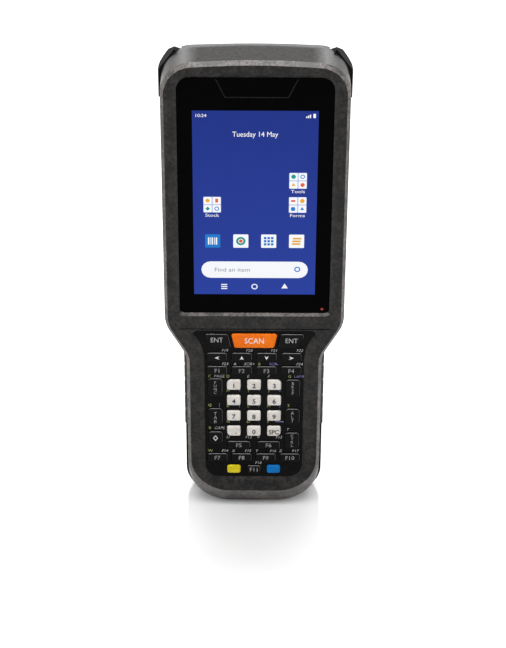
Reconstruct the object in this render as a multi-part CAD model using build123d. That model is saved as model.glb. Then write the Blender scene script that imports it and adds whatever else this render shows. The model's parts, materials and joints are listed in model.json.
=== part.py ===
from build123d import *
import math
import os

# A rugged handheld data terminal that stands on the foot of its grip.
# X runs across it, Y from its front face to its back, and Z up from the surface it
# stands on.  Sizes are in millimetres.  A "depth" is counted back from the front face.

# Fits
WALL = 2.6
FIT = 0.25
TOUCH = 0.1
CUT = 1.0
ALIGNED = 0.999
OVERRUN = 20.0

# Display and glass: a standard panel, from which the head takes its width
SCREEN_WIDTH = 51.84
SCREEN_HEIGHT = 86.4
DISPLAY_BORDER = 2.6
DISPLAY_TAB = 5.8
DISPLAY_THICKNESS = 2.6
DISPLAY_STEP = 0.8
MODULE_CORNER = 1.0
INK_SIDE = 6.28
INK_FOOT = 9.2
INK_TOP = 14.6
GLASS_WIDTH = SCREEN_WIDTH + 2 * INK_SIDE
GLASS_HEIGHT = SCREEN_HEIGHT + INK_FOOT + INK_TOP
GLASS_CORNER = 5.5
GLASS_FOOT_CORNER = 2.0
GLASS_SINK = 0.9
GLASS_THICKNESS = 1.5
GLASS_EDGE = 0.2
GLASS_SEAT = GLASS_SINK + GLASS_THICKNESS
GLASS_LEDGE = 1.2
HEAD_FACE_WALL = GLASS_SEAT + GLASS_LEDGE
BEZEL_SIDE = 6.7
BEZEL_TOP = 7.4
BEZEL_FOOT = 7.6
BEZEL_BEVEL = 1.3

# Key columns
NUMBER_PITCH_X = 8.98
NUMBER_GAP_X = 2.98
NUMBER_WIDTH = NUMBER_PITCH_X - NUMBER_GAP_X
SIDE_GAP = 2.02
SIDE_WIDTH = 6.4
SIDE_MARGIN = 1.5
SIDE_COLUMN = NUMBER_PITCH_X + NUMBER_WIDTH / 2 + SIDE_GAP + SIDE_WIDTH / 2
RECESS_HALF = SIDE_COLUMN + SIDE_WIDTH / 2 + SIDE_MARGIN
WIDE_GAP = 2.0
WIDE_MARGIN = 1.1
WIDE_WIDTH = (2 * (RECESS_HALF - WIDE_MARGIN) - 3 * WIDE_GAP) / 4
F5_GAP = 3.2
F5_WIDTH = 10.2
SCAN_TOP_WIDTH = 20.3
SCAN_FOOT_WIDTH = 17.3
ENTER_GAP = 1.35
ENTER_MARGIN = 0.3
ENTER_CUT_X = 3.6
ENTER_CUT_Z = 5.0

# Key rows, from the foot of the recess upwards
RECESS_LOW = 16.7
BOTTOM_HEIGHT = 4.1
BOTTOM_ROW = RECESS_LOW + 4.3
WIDE_HEIGHT = 4.3
F7_ROW = BOTTOM_ROW + 6.5
F5_HEIGHT = 3.9
F5_ROW = F7_ROW + 6.9
NUMBER_PITCH_Z = 8.19
NUMBER_GAP_Z = 3.05
NUMBER_HEIGHT = NUMBER_PITCH_Z - NUMBER_GAP_Z
NUMBER_LOW_ROW = F5_ROW + 7.46
NUMBER_TOP_ROW = NUMBER_LOW_ROW + 3 * NUMBER_PITCH_Z
F1_ROW = NUMBER_TOP_ROW + 7.62
ARROW_ROW = F1_ROW + 6.9
SCAN_HEIGHT = 7.1
SCAN_ROW = ARROW_ROW + 8.3
SIDE_SPANS = {
    "key_function": (-1, NUMBER_TOP_ROW - 6.0, 9.4),
    "key_tab": (-1, NUMBER_LOW_ROW + 3.6, 8.6),
    "key_home": (-1, NUMBER_LOW_ROW - 6.8, 6.5),
    "key_delete": (1, NUMBER_TOP_ROW - 6.0, 8.9),
    "key_alt": (1, NUMBER_LOW_ROW + 3.7, 8.3),
    "key_control": (1, NUMBER_LOW_ROW - 9.1, 8.3),
}

# Keys and what lies behind them
KEY_CORNER = 1.0
SIDE_CORNER = 1.5
NUMBER_CORNER = 0.8
NUMBER_BLOCK_CORNER = 2.0
RECESS_SINK = 1.0
KEY_PLATE = 1.6
KEY_PLATE_BACK = RECESS_SINK + KEY_PLATE
KEY_PROUD = 0.8
KEY_TRAVEL = 0.8
KEY_LIP = 0.45
KEY_LIP_THICKNESS = 0.8
KEY_LIP_DEPTH = KEY_PLATE_BACK + TOUCH
KEY_GAP = 0.2
KEY_ROUND = 0.5
MAT_THICKNESS = 1.0
MAT_CORNER = 3.0
MAT_DEPTH = KEY_LIP_DEPTH + KEY_LIP_THICKNESS + KEY_TRAVEL + TOUCH
KEY_BOARD_THICKNESS = 1.2
KEY_BOARD_DEPTH = MAT_DEPTH + MAT_THICKNESS
RECESS_TOP = SCAN_ROW + SCAN_HEIGHT / 2 + 2.0
RECESS_FLARE_HEIGHT = RECESS_TOP - 9.0
RECESS_FLARE_TURN = 35.0
RECESS_FLARE_RADIUS = 21.5
RECESS_BEVEL = 1.5
RECESS_CORNER = 6.5
RECESS_TOP_CORNER = 1.5
SEAM_WIDTH = 0.5
SEAM_SINK = 0.4
SEAM_HEIGHT = RECESS_TOP + SEAM_WIDTH + 0.5

# Body
GLASS_LOW = SEAM_HEIGHT + BEZEL_FOOT
SCREEN_LOW = GLASS_LOW + INK_FOOT
LENGTH = GLASS_LOW + GLASS_HEIGHT + BEZEL_TOP
HEAD_WIDTH = GLASS_WIDTH + 2 * BEZEL_SIDE
HEAD_INNER = HEAD_WIDTH / 2 - WALL
SEAM_HALF = HEAD_WIDTH / 2 - 6.0
GRIP_BORDER = 7.75
GRIP_WIDTH = 2 * (RECESS_HALF + GRIP_BORDER)
BODY_DEPTH = 42.0
GRIP_DEPTH = 31.0
SPLIT_DEPTH = 13.0

# Front outline
FOOT_CORNER = 19.0
SHOULDER_HEIGHT = SEAM_HEIGHT + 1.4
SHOULDER_RADIUS = 16.0
WAIST_HEIGHT = SHOULDER_HEIGHT - 16.0
WAIST_RADIUS = 12.0
HEAD_CORNER = 13.5
CROWN_SLOPE = 3.2
CROWN_SHARE = 0.45
FACET = 1.4
BROW_FACET = 1.7
FACET_DEPTH = 1.5
CHIN_HEIGHT = 9.4
CHIN_DEPTH = 6.0

# Back profile
HINGE_HEIGHT = SHOULDER_HEIGHT + 10.8
NECK_HEIGHT = HINGE_HEIGHT + 5.0
NECK_RADIUS = 40.0
HUMP_HEIGHT = NECK_HEIGHT + 37.0
HUMP_RADIUS = 25.0
WINDOW_FOOT_HEIGHT = LENGTH - 25.0
WINDOW_FOOT_RADIUS = 10.0
CROWN_DEPTH = 21.0
BACK_ROUND = 8.0

# Screws
SCREW_RADIUS = 1.25
SCREW_CLEARANCE = 0.05
SCREW_PASS = 0.25
SCREW_HEAD_RADIUS = 2.3
SCREW_HEAD_THICKNESS = 2.2
SCREW_SEAT_DEPTH = SPLIT_DEPTH + 4.0
SCREW_TIP_DEPTH = 6.0
SCREW_TIP_ROOM = 1.0
BOSS_WALL = 1.9
BOSS_RADIUS = SCREW_RADIUS + BOSS_WALL
DRIVE_RADIUS = 1.2
DRIVE_SINK = 1.2
SCREW_X = HEAD_WIDTH / 2 - 6.0
SCREW_HEIGHTS = (NECK_HEIGHT + 8.0, WINDOW_FOOT_HEIGHT - 8.0)
FOOT_SCREW_X = 17.0
FOOT_SCREW_HEIGHT = 13.4

# Boards and posts in the front housing
BOARD_THICKNESS = 1.2
BOARD_HALF = SCREW_X - BOSS_RADIUS - 3.85
BOARD_LOW = GLASS_LOW - 2.3
BOARD_TOP = GLASS_LOW + GLASS_HEIGHT - 3.1
BOARD_DEPTH = GLASS_SEAT + DISPLAY_THICKNESS + 2.2
BOARD_CORNER = 2.0
POST_RADIUS = 1.8
BOARD_POST_X = 22.0
KEY_BOARD_HALF = GRIP_WIDTH / 2 - WALL - 1.1
KEY_POST_X = RECESS_HALF + 2.4
KEY_POST_RADIUS = 1.3
KEY_POST_RISES = (6.8, 34.8, 62.8)
CHIP_RISES = (16.0, 44.0, 74.0)
CHIP_SIZE = 16.0
CHIP_THICKNESS = 1.6

# Battery well, door and latch
DOOR_WIDTH = 47.0
DOOR_LOW = 24.0
DOOR_CORNER = 5.0
DOOR_THICKNESS = 2.7
DOOR_SEAT = GRIP_DEPTH - DOOR_THICKNESS
DOOR_TOP_DROP = 3.6
WELL_LEDGE = 1.7
WELL_WIDTH = DOOR_WIDTH - 2 * WELL_LEDGE
WELL_LOW = DOOR_LOW + 3.0
WELL_TOP = HINGE_HEIGHT - 6.5
WELL_FLOOR = 1.4
WELL_WALL = 1.5
WELL_CORNER = 2.0
BATTERY_THICKNESS = 10.6
BATTERY_GAP = 0.3
BATTERY_EDGE = 0.6
WELL_BACK = DOOR_SEAT - BATTERY_GAP - BATTERY_THICKNESS
HINGE_RADIUS = 2.2
HINGE_DEPTH = GRIP_DEPTH - HINGE_RADIUS - 0.2
HINGE_PIN_RADIUS = 1.2
HINGE_PIN_LENGTH = 2.0
HINGE_CLEARANCE = 0.05
KNUCKLE_INNER = 8.0
KNUCKLE_WIDTH = 8.0
EAR_WIDTH = 2.6
LATCH_TRAVEL = 2.5
LATCH_LOW = DOOR_LOW + 4.6
LATCH_WIDTH = 14.0
LATCH_HEIGHT = 8.0
LATCH_WING = 1.4
LATCH_WING_THICKNESS = 0.8
LATCH_CAP_THICKNESS = 1.0
LATCH_GROOVES = 3
LATCH_GROOVE_WIDTH = 0.8
LATCH_GROOVE_SINK = 0.4
LATCH_GROOVE_MARGIN = 1.5
TONGUE_WIDTH = 8.0
TONGUE_REACH = 1.6

# Scan engine and its window
WINDOW_WIDTH = 46.0
WINDOW_HEIGHT = 15.0
WINDOW_CORNER = 4.0
WINDOW_THICKNESS = 1.6
WINDOW_SINK = 0.2
WINDOW_LEDGE = 3.0
WINDOW_PLACE = 15.5
ENGINE_POST_X = WINDOW_WIDTH / 2 - 2.5
ENGINE_POST_RADIUS = 2.0
ENGINE_POST_HEIGHT = 1.6
ENGINE_PLATE_THICKNESS = 1.4
ENGINE_WIDTH = 23.0
ENGINE_HEIGHT = WINDOW_HEIGHT - WINDOW_LEDGE
ENGINE_LENGTH = 10.0
ENGINE_LENS_RADIUS = 3.6

# Camera, loudspeaker and charging contacts
CAMERA_HEIGHT = HUMP_HEIGHT + 26.0
CAMERA_RADIUS = 4.6
CAMERA_BASE = 13.0
CAMERA_DEPTH = 4.4
CAMERA_SINK = 0.4
FLASH_OFFSET = 9.5
FLASH_RADIUS = 1.6
SPEAKER_HEIGHT = HUMP_HEIGHT + 10.0
SPEAKER_SIZE = (20.0, 11.0)
SPEAKER_THICKNESS = 3.6
SLOT_COUNT = 6
SLOT_PITCH = 2.8
SLOT_WIDTH = 1.2
SLOT_LENGTH = 7.0
CONTACT_COUNT = 6
CONTACT_PITCH = 3.6
CONTACT_WIDTH = 2.0
CONTACT_LENGTH = 4.2
CONTACT_THICKNESS = 0.8
CONTACT_SINK = 0.3
CONTACT_CORNER = 0.5
CONTACT_HEIGHT = 15.8

# Side buttons
SIDE_KEY_DEPTH = SPLIT_DEPTH + 7.5
SIDE_KEY_FLANGE = 1.0
SIDE_KEY_FLANGE_THICKNESS = 1.2
SIDE_KEY_ROUND = 0.6
TRIGGER_HEIGHT = SHOULDER_HEIGHT + 6.1
TRIGGER_LENGTH = 19.0
TRIGGER_WIDTH = 8.6
TRIGGER_CORNER = 3.5
TRIGGER_PROUD = 0.4
TRIGGER_GUIDE_WALL = 1.6
TRIGGER_GUIDE = HEAD_INNER - 3.2
POWER_HEIGHT = HUMP_HEIGHT + 20.0
POWER_LENGTH = 11.0
POWER_WIDTH = 5.0
POWER_CORNER = 2.2
POWER_PROUD = 0.15

# Rubber parts and the gasket
PAD_SINK = 0.6
PAD_FRONT_DEPTH = SPLIT_DEPTH + 1.2
PAD_BACK_DEPTH = GRIP_DEPTH - BACK_ROUND - PAD_SINK
PAD_PROUD = 0.9
RIB_COUNT = 5
RIB_LENGTH = 6.9
RIB_PITCH = RIB_LENGTH + 1.15
RIB_PROUD = 1.7
RIB_SOFT = 0.75
BUMPER_PROUD = 1.3
BUMPER_SINK = 0.7
HEAD_BUMPER_CORNER = 8.7
HEAD_BUMPER_LOW = LENGTH - 23.0
HEAD_BUMPER_INNER = HEAD_WIDTH / 2 - BACK_ROUND - 0.4
HEAD_BUMPER_FRONT = SPLIT_DEPTH + 3.5
HEAD_BUMPER_BACK = BODY_DEPTH - BACK_ROUND - 0.5
FOOT_BUMPER_CORNER = 12.7
FOOT_BUMPER_LOW = 1.5
FOOT_BUMPER_TOP = 36.4
FOOT_BUMPER_INNER = GRIP_WIDTH / 2 - 9.7
FOOT_BUMPER_FRONT = SPLIT_DEPTH + 2.0
FOOT_BUMPER_BACK = GRIP_DEPTH - 3.5
PAD_LOW = FOOT_BUMPER_TOP + 0.6
GASKET_INSET = 0.8
GASKET_WIDTH = 1.0
GASKET_THICKNESS = 0.8


def at_depth(depth):
    """Y of a point that lies a given depth behind the front face."""
    return depth - BODY_DEPTH / 2


def grow(points, distance):
    """Move every side of a counter-clockwise outline outwards by a distance."""
    moved = []
    for index, point in enumerate(points):
        corner = Vector(*point)
        arriving = (corner - Vector(*points[index - 1])).normalized()
        leaving = (Vector(*points[(index + 1) % len(points)]) - corner).normalized()
        bisector = Vector(arriving.Y + leaving.Y, -arriving.X - leaving.X)
        corner += bisector * (2 * distance / bisector.length**2)
        moved.append((corner.X, corner.Y))
    return moved


def rounded_face(points, radii):
    """Flat face inside a closed outline whose corners have the given radii."""
    return make_face(FilletPolyline(*points, radius=radii, close=True))


def upright(sketch, depth):
    """Stand a sketch of X and Z up at a depth behind the front face."""
    return Plane(origin=(0, at_depth(depth), 0), x_dir=(1, 0, 0), z_dir=(0, -1, 0)) * sketch


def prism(sketch, front, back):
    """Solid between two depths with a sketch of X and Z as its section."""
    return extrude(upright(sketch, front), amount=back - front, dir=(0, 1, 0))


def bar(sketch, left, right):
    """Solid between two X places with a sketch of Y and Z as its section."""
    plane = Plane(origin=(left, 0, 0), x_dir=(0, 1, 0), z_dir=(1, 0, 0))
    return extrude(plane * sketch, amount=right - left, dir=(1, 0, 0))


def block(x_range, depth_range, z_range):
    """Box between two X places, two depths and two heights."""
    sizes = [high - low for low, high in (x_range, depth_range, z_range)]
    middle = (sum(x_range) / 2, at_depth(sum(depth_range) / 2), sum(z_range) / 2)
    return Pos(*middle) * Box(*sizes)


def disc(x, z, radius):
    """Circle in X and Z."""
    return Pos(x, z) * Circle(radius)


def card(x, z, width, height, corner):
    """Rounded rectangle in X and Z about its centre."""
    return Pos(x, z) * RectangleRounded(width, height, corner)


def both_sides(shape):
    """A shape on the right and its mirror image on the left."""
    return [shape, mirror(shape, about=Plane.YZ)]


# --- Body forms -------------------------------------------------------------------


def front_outline(side=0.0, low=0.0, high=0.0, foot=FOOT_CORNER, head=HEAD_CORNER):
    """Outline of the body in X and Z, drawn in at its sides, its foot and its crown."""
    half_head = HEAD_WIDTH / 2 - side
    half_grip = GRIP_WIDTH / 2 - side
    turn = math.atan2((HEAD_WIDTH - GRIP_WIDTH) / 2, SHOULDER_HEIGHT - WAIST_HEIGHT)
    lift = side * math.tan(turn / 2)
    slope = math.radians(CROWN_SLOPE)
    crown_radius = CROWN_SHARE * half_head / math.tan(slope)
    apex = LENGTH - high + crown_radius * (1 / math.cos(slope) - 1)
    right = [
        (half_grip, low),
        (half_grip, WAIST_HEIGHT + lift),
        (half_head, SHOULDER_HEIGHT + lift),
        (half_head, apex - half_head * math.tan(slope)),
    ]
    left = [(-x, z) for x, z in reversed(right)]
    corners = [foot - side, WAIST_RADIUS + side, SHOULDER_RADIUS - side, head - side]
    return rounded_face(right + [(0, apex)] + left, corners + [crown_radius] + corners[::-1])


def chin_rise(depth):
    """Height at which the facet under the front face stands at a depth."""
    return CHIN_HEIGHT * (1 - depth / CHIN_DEPTH)


def front_form():
    """Outer form of the front housing: a face with narrow facets and a broad one at its foot."""
    face = front_outline(FACET, CHIN_HEIGHT, BROW_FACET)
    edge = front_outline(0, chin_rise(FACET_DEPTH), 0)
    rim = loft([upright(face, 0), upright(edge, FACET_DEPTH)], ruled=True)
    chin = loft([upright(edge, FACET_DEPTH), upright(front_outline(), CHIN_DEPTH)], ruled=True)
    return rim + chin + prism(front_outline(), CHIN_DEPTH, SPLIT_DEPTH)


def back_profile(margin=0.0):
    """Side view of the body in Y and Z, open past the split, the foot and the crown."""
    run = (BODY_DEPTH - CROWN_DEPTH) / (LENGTH - WINDOW_FOOT_HEIGHT)
    top = LENGTH + OVERRUN
    depths = [
        (-OVERRUN, -OVERRUN),
        (GRIP_DEPTH, -OVERRUN),
        (GRIP_DEPTH, NECK_HEIGHT),
        (BODY_DEPTH, HUMP_HEIGHT),
        (BODY_DEPTH, WINDOW_FOOT_HEIGHT),
        (CROWN_DEPTH - OVERRUN * run, top),
        (-OVERRUN, top),
    ]
    points = grow([(at_depth(depth), z) for depth, z in depths], margin)
    radii = [0, 0, NECK_RADIUS - margin, HUMP_RADIUS + margin, WINDOW_FOOT_RADIUS + margin, 0, 0]
    return rounded_face(points, radii)


def is_back_rim(edge):
    """Whether an edge of a back form runs round its back, where the sides meet it."""
    if edge.center().Y < at_depth(SPLIT_DEPTH) + TOUCH:
        return False
    if edge.geom_type != GeomType.LINE:
        return True
    direction = edge.tangent_at(0.5)
    crosses = abs(direction.X) > ALIGNED and edge.center().Z > FOOT_CORNER
    return abs(direction.Y) < ALIGNED and not crosses


def back_form(margin=0.0, foot=FOOT_CORNER, head=HEAD_CORNER):
    """Outer form of the back housing, grown or drawn in by a margin."""
    outline = front_outline(-margin, -margin, -margin, foot, head)
    blank = prism(outline, SPLIT_DEPTH, BODY_DEPTH + OVERRUN)
    reach = HEAD_WIDTH
    form = blank & bar(back_profile(margin), -reach, reach)
    return fillet(form.edges().filter_by(is_back_rim), BACK_ROUND + margin)


def window_plane():
    """Plane on the sloping face above the hump, with its normal out of the body."""
    fall = LENGTH - WINDOW_FOOT_HEIGHT
    run = BODY_DEPTH - CROWN_DEPTH
    length = math.hypot(fall, run)
    place = (0, at_depth(CROWN_DEPTH + WINDOW_PLACE * run / length), LENGTH - WINDOW_PLACE * fall / length)
    return Plane(origin=place, x_dir=(1, 0, 0), z_dir=(0, fall, run))


def window_block(sketch, start, end):
    """Solid on the sloping face, from one distance out of it to another."""
    return extrude(window_plane().offset(start) * sketch, amount=end - start)


# --- Front housing, glass and display ---------------------------------------------


def glass_face(margin=0.0):
    """Outline of the touch glass in X and Z."""
    half = GLASS_WIDTH / 2
    points = [(-half, GLASS_LOW), (half, GLASS_LOW)]
    points += [(half, GLASS_LOW + GLASS_HEIGHT), (-half, GLASS_LOW + GLASS_HEIGHT)]
    foot, top = GLASS_FOOT_CORNER + margin, GLASS_CORNER + margin
    return rounded_face(grow(points, margin), [foot, foot, top, top])


def display_size():
    """Centre height, width and height of the display module."""
    height = SCREEN_HEIGHT + DISPLAY_BORDER + DISPLAY_TAB
    return SCREEN_LOW - DISPLAY_TAB + height / 2, SCREEN_WIDTH + 2 * DISPLAY_BORDER, height


def recess_face(margin=0.0):
    """Outline of the recess that the keys stand in. Its top stays where it is."""
    top_height = RECESS_TOP - margin
    flare_width = (top_height - RECESS_FLARE_HEIGHT) * math.tan(math.radians(RECESS_FLARE_TURN))
    top_half = RECESS_HALF + flare_width
    points = [
        (-RECESS_HALF, RECESS_LOW),
        (RECESS_HALF, RECESS_LOW),
        (RECESS_HALF, RECESS_FLARE_HEIGHT),
        (top_half, top_height),
        (-top_half, top_height),
        (-RECESS_HALF, RECESS_FLARE_HEIGHT),
    ]
    foot, top = RECESS_CORNER + margin, RECESS_TOP_CORNER + margin
    flare = RECESS_FLARE_RADIUS - margin
    return rounded_face(grow(points, margin), [foot, foot, flare, top, top, flare])


def screw_places():
    """X and Z of the six housing screws."""
    places = [(side * SCREW_X, z) for side in (-1, 1) for z in SCREW_HEIGHTS]
    return places + [(side * FOOT_SCREW_X, FOOT_SCREW_HEIGHT) for side in (-1, 1)]


def front_cavities():
    """Hollows behind the head's face and behind the key plate."""
    foot_wall = WALL * math.hypot(CHIN_HEIGHT, CHIN_DEPTH) / CHIN_DEPTH
    outline = front_outline(WALL, chin_rise(KEY_PLATE_BACK) + foot_wall, WALL)
    whole = prism(outline, KEY_PLATE_BACK, SPLIT_DEPTH)
    reach = HEAD_WIDTH
    head_wall = block((-reach, reach), (0, HEAD_FACE_WALL), (SEAM_HEIGHT, LENGTH + OVERRUN))
    return whole - head_wall


def front_housing(keys):
    """Front half of the shell with its glass seat, key plate, bosses and posts."""
    middle, width, height = display_size()
    shell = front_form() - front_cavities()
    bevel = loft([upright(glass_face(BEZEL_BEVEL), 0), upright(glass_face(FIT / 2), GLASS_SINK)])
    shell -= bevel + prism(glass_face(FIT / 2), GLASS_SINK, GLASS_SEAT)
    window = card(0, middle, width + 2 * FIT, height + 2 * FIT, MODULE_CORNER)
    shell -= prism(window, GLASS_SINK, HEAD_FACE_WALL)
    rim = loft([upright(recess_face(RECESS_BEVEL), 0), upright(recess_face(), RECESS_SINK)])
    shell -= rim
    shell -= block(
        (-SEAM_HALF, SEAM_HALF), (-TOUCH, SEAM_SINK), (SEAM_HEIGHT - SEAM_WIDTH, SEAM_HEIGHT)
    )
    for points, radii in keys.values():
        opening = rounded_face(grow(points, KEY_GAP), [radius + KEY_GAP for radius in radii])
        shell -= prism(opening, RECESS_SINK, KEY_PLATE_BACK)
    for x, z in screw_places():
        wall = HEAD_FACE_WALL if z > SEAM_HEIGHT else KEY_PLATE_BACK
        shell += prism(disc(x, z, BOSS_RADIUS), wall, SPLIT_DEPTH)
        hole = disc(x, z, SCREW_RADIUS + SCREW_CLEARANCE)
        shell -= prism(hole, SCREW_TIP_DEPTH - SCREW_TIP_ROOM, SPLIT_DEPTH)
    for side in (-1, 1):
        for z in board_post_heights():
            shell += prism(disc(side * BOARD_POST_X, z, POST_RADIUS), HEAD_FACE_WALL, BOARD_DEPTH)
        for rise in KEY_POST_RISES:
            post = disc(side * KEY_POST_X, RECESS_LOW + rise, KEY_POST_RADIUS)
            shell += prism(post, KEY_PLATE_BACK, KEY_BOARD_DEPTH)
    return shell


def board_post_heights():
    """Heights of the posts under the main board, clear of the display's ends."""
    middle, _, height = display_size()
    clear = POST_RADIUS + 2 * FIT
    return middle - height / 2 - clear, middle + height / 2 + clear


def touch_glass():
    """Cover glass in its seat in the bezel."""
    glass = prism(glass_face(), GLASS_SINK, GLASS_SEAT)
    return chamfer(glass.faces().sort_by(Axis.Y)[0].edges(), GLASS_EDGE)


def display_module():
    """Display behind the glass, with its driver ledge at the foot."""
    middle, width, height = display_size()
    back = GLASS_SEAT + DISPLAY_THICKNESS
    module = prism(card(0, middle, width, height, MODULE_CORNER), GLASS_SEAT, back)
    foot = middle - height / 2
    return module - block((-width, width), (back - DISPLAY_STEP, back), (foot, SCREEN_LOW - FIT))


def main_board():
    """Main circuit board with shielded chips on its back."""
    middle = (BOARD_LOW + BOARD_TOP) / 2
    board = prism(
        card(0, middle, 2 * BOARD_HALF, BOARD_TOP - BOARD_LOW, BOARD_CORNER),
        BOARD_DEPTH,
        BOARD_DEPTH + BOARD_THICKNESS,
    )
    back = BOARD_DEPTH + BOARD_THICKNESS
    for side in (-1, 1):
        for rise in CHIP_RISES:
            chip = card(side * BOARD_HALF / 2, BOARD_LOW + rise, CHIP_SIZE, CHIP_SIZE, MODULE_CORNER)
            board += prism(chip, back, back + CHIP_THICKNESS)
    return board


def key_sheet(half, margin, corner):
    """Outline of a sheet behind the keys, drawn in from the recess by a margin."""
    low, top = RECESS_LOW + margin, RECESS_TOP - margin
    return card(0, (low + top) / 2, 2 * half, top - low, corner)


def keypad_mat():
    """Elastomer mat that the keys press on."""
    sheet = key_sheet(RECESS_HALF - KEY_LIP, KEY_LIP, MAT_CORNER)
    return prism(sheet, MAT_DEPTH, KEY_BOARD_DEPTH)


def key_board():
    """Circuit board under the mat, carried by the posts beside the keys."""
    sheet = key_sheet(KEY_BOARD_HALF, FIT, RECESS_CORNER)
    return prism(sheet, KEY_BOARD_DEPTH, KEY_BOARD_DEPTH + KEY_BOARD_THICKNESS)


# --- Keys -------------------------------------------------------------------------


def box_points(x, z, width, height):
    """Corners of a rectangle, from the lower left one and counter-clockwise."""
    w, h = width / 2, height / 2
    return [(x - w, z - h), (x + w, z - h), (x + w, z + h), (x - w, z + h)]


def number_keys():
    """The twelve keys of the number block, whose outer corners are rounder."""
    names = [f"key_{digit}" for digit in range(1, 10)] + ["key_point", "key_0", "key_space"]
    keys = {}
    for index, name in enumerate(names):
        row, column = divmod(index, 3)
        x = (column - 1) * NUMBER_PITCH_X
        z = NUMBER_TOP_ROW - row * NUMBER_PITCH_Z
        radii = [NUMBER_CORNER] * 4
        ends = {(0, 0): 3, (0, 2): 2, (3, 0): 0, (3, 2): 1}
        if (row, column) in ends:
            radii[ends[row, column]] = NUMBER_BLOCK_CORNER
        keys[name] = (box_points(x, z, NUMBER_WIDTH, NUMBER_HEIGHT), radii)
    return keys


def row_keys(names, z):
    """Four wide keys side by side."""
    keys = {}
    for index, name in enumerate(names):
        x = (index - 1.5) * (WIDE_WIDTH + WIDE_GAP)
        keys[name] = (box_points(x, z, WIDE_WIDTH, WIDE_HEIGHT), [KEY_CORNER] * 4)
    return keys


def side_keys():
    """The six tall keys beside the number block, given by foot and height."""
    keys = {}
    for name, (side, low, height) in SIDE_SPANS.items():
        points = box_points(side * SIDE_COLUMN, low + height / 2, SIDE_WIDTH, height)
        keys[name] = (points, [SIDE_CORNER] * 4)
    return keys


def lower_keys():
    """The two long keys under the number block and the three of the bottom row."""
    keys = {}
    for name, side in (("key_f5", -1), ("key_f6", 1)):
        x = side * (F5_GAP + F5_WIDTH) / 2
        keys[name] = (box_points(x, F5_ROW, F5_WIDTH, F5_HEIGHT), [KEY_CORNER] * 4)
    for name, side in (("key_yellow", -1), ("key_f11", 0), ("key_blue", 1)):
        points = box_points(side * NUMBER_PITCH_X, BOTTOM_ROW, NUMBER_WIDTH, BOTTOM_HEIGHT)
        keys[name] = (points, [KEY_CORNER] * 4)
    return keys


def top_keys():
    """The scan key and the two enter keys that flank its sloping sides."""
    low, top = SCAN_ROW - SCAN_HEIGHT / 2, SCAN_ROW + SCAN_HEIGHT / 2
    foot_half, top_half = SCAN_FOOT_WIDTH / 2, SCAN_TOP_WIDTH / 2
    outer = RECESS_HALF - ENTER_MARGIN
    scan = [(-foot_half, low), (foot_half, low), (top_half, top), (-top_half, top)]
    right = [
        (foot_half + ENTER_GAP, low),
        (outer - ENTER_CUT_X, low),
        (outer, low + ENTER_CUT_Z),
        (outer, top),
        (top_half + ENTER_GAP, top),
    ]
    left = [(-x, z) for x, z in reversed(right)]
    return {
        "key_scan": (scan, [KEY_CORNER] * 4),
        "key_enter_left": (left, [KEY_CORNER] * 5),
        "key_enter_right": (right, [KEY_CORNER] * 5),
    }


def key_layout():
    """Corner points and corner radii of every key, by name."""
    keys = top_keys()
    keys |= row_keys(["key_left", "key_up", "key_down", "key_right"], ARROW_ROW)
    keys |= row_keys(["key_f1", "key_f2", "key_f3", "key_f4"], F1_ROW)
    keys |= number_keys()
    keys |= side_keys()
    keys |= row_keys(["key_f7", "key_f8", "key_f9", "key_f10"], F7_ROW)
    keys |= lower_keys()
    return keys


def key_cap(points, radii):
    """Key with a rounded top and a lip that holds it behind the key plate."""
    top = RECESS_SINK - KEY_PROUD
    cap = prism(rounded_face(points, radii), top, KEY_LIP_DEPTH)
    cap = fillet(cap.faces().sort_by(Axis.Y)[0].edges(), KEY_ROUND)
    lip = rounded_face(grow(points, KEY_LIP), [radius + KEY_LIP for radius in radii])
    return cap + prism(lip, KEY_LIP_DEPTH, KEY_LIP_DEPTH + KEY_LIP_THICKNESS)


# --- Back housing -----------------------------------------------------------------


def back_shell():
    """Hollow back housing with the rim that takes the gasket."""
    shell = back_form() - back_form(-WALL)
    outer = GASKET_INSET
    inner = GASKET_INSET + GASKET_WIDTH
    groove = prism(front_outline(outer, outer, outer), SPLIT_DEPTH, SPLIT_DEPTH + GASKET_THICKNESS)
    groove -= prism(front_outline(inner, inner, inner), SPLIT_DEPTH, SPLIT_DEPTH + GASKET_THICKNESS)
    return shell - groove


def door_face(margin=0.0):
    """Outline of the battery door below its hinge, round at its lower corners only."""
    top = HINGE_HEIGHT - DOOR_TOP_DROP
    points = box_points(0, (DOOR_LOW + top) / 2, DOOR_WIDTH, top - DOOR_LOW)
    corner = DOOR_CORNER + margin
    return rounded_face(grow(points, margin), [corner, corner, 0, 0])


def well_face(margin=0.0):
    """Outline of the battery well."""
    width, height = WELL_WIDTH + 2 * margin, WELL_TOP - WELL_LOW + 2 * margin
    return card(0, (WELL_LOW + WELL_TOP) / 2, width, height, WELL_CORNER + margin)


def hinge_pocket():
    """Room for the hinge between the door's top edge and the neck."""
    half = DOOR_WIDTH / 2 + FIT
    room = HINGE_RADIUS + 2 * FIT
    return block(
        (-half, half),
        (HINGE_DEPTH - room, BODY_DEPTH + OVERRUN),
        (HINGE_HEIGHT - DOOR_TOP_DROP, HINGE_HEIGHT + room),
    )


def hinge_barrel(x_range, radius):
    """Round bar on the door's hinge axis."""
    return bar(Pos(at_depth(HINGE_DEPTH), HINGE_HEIGHT) * Circle(radius), *x_range)


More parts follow.
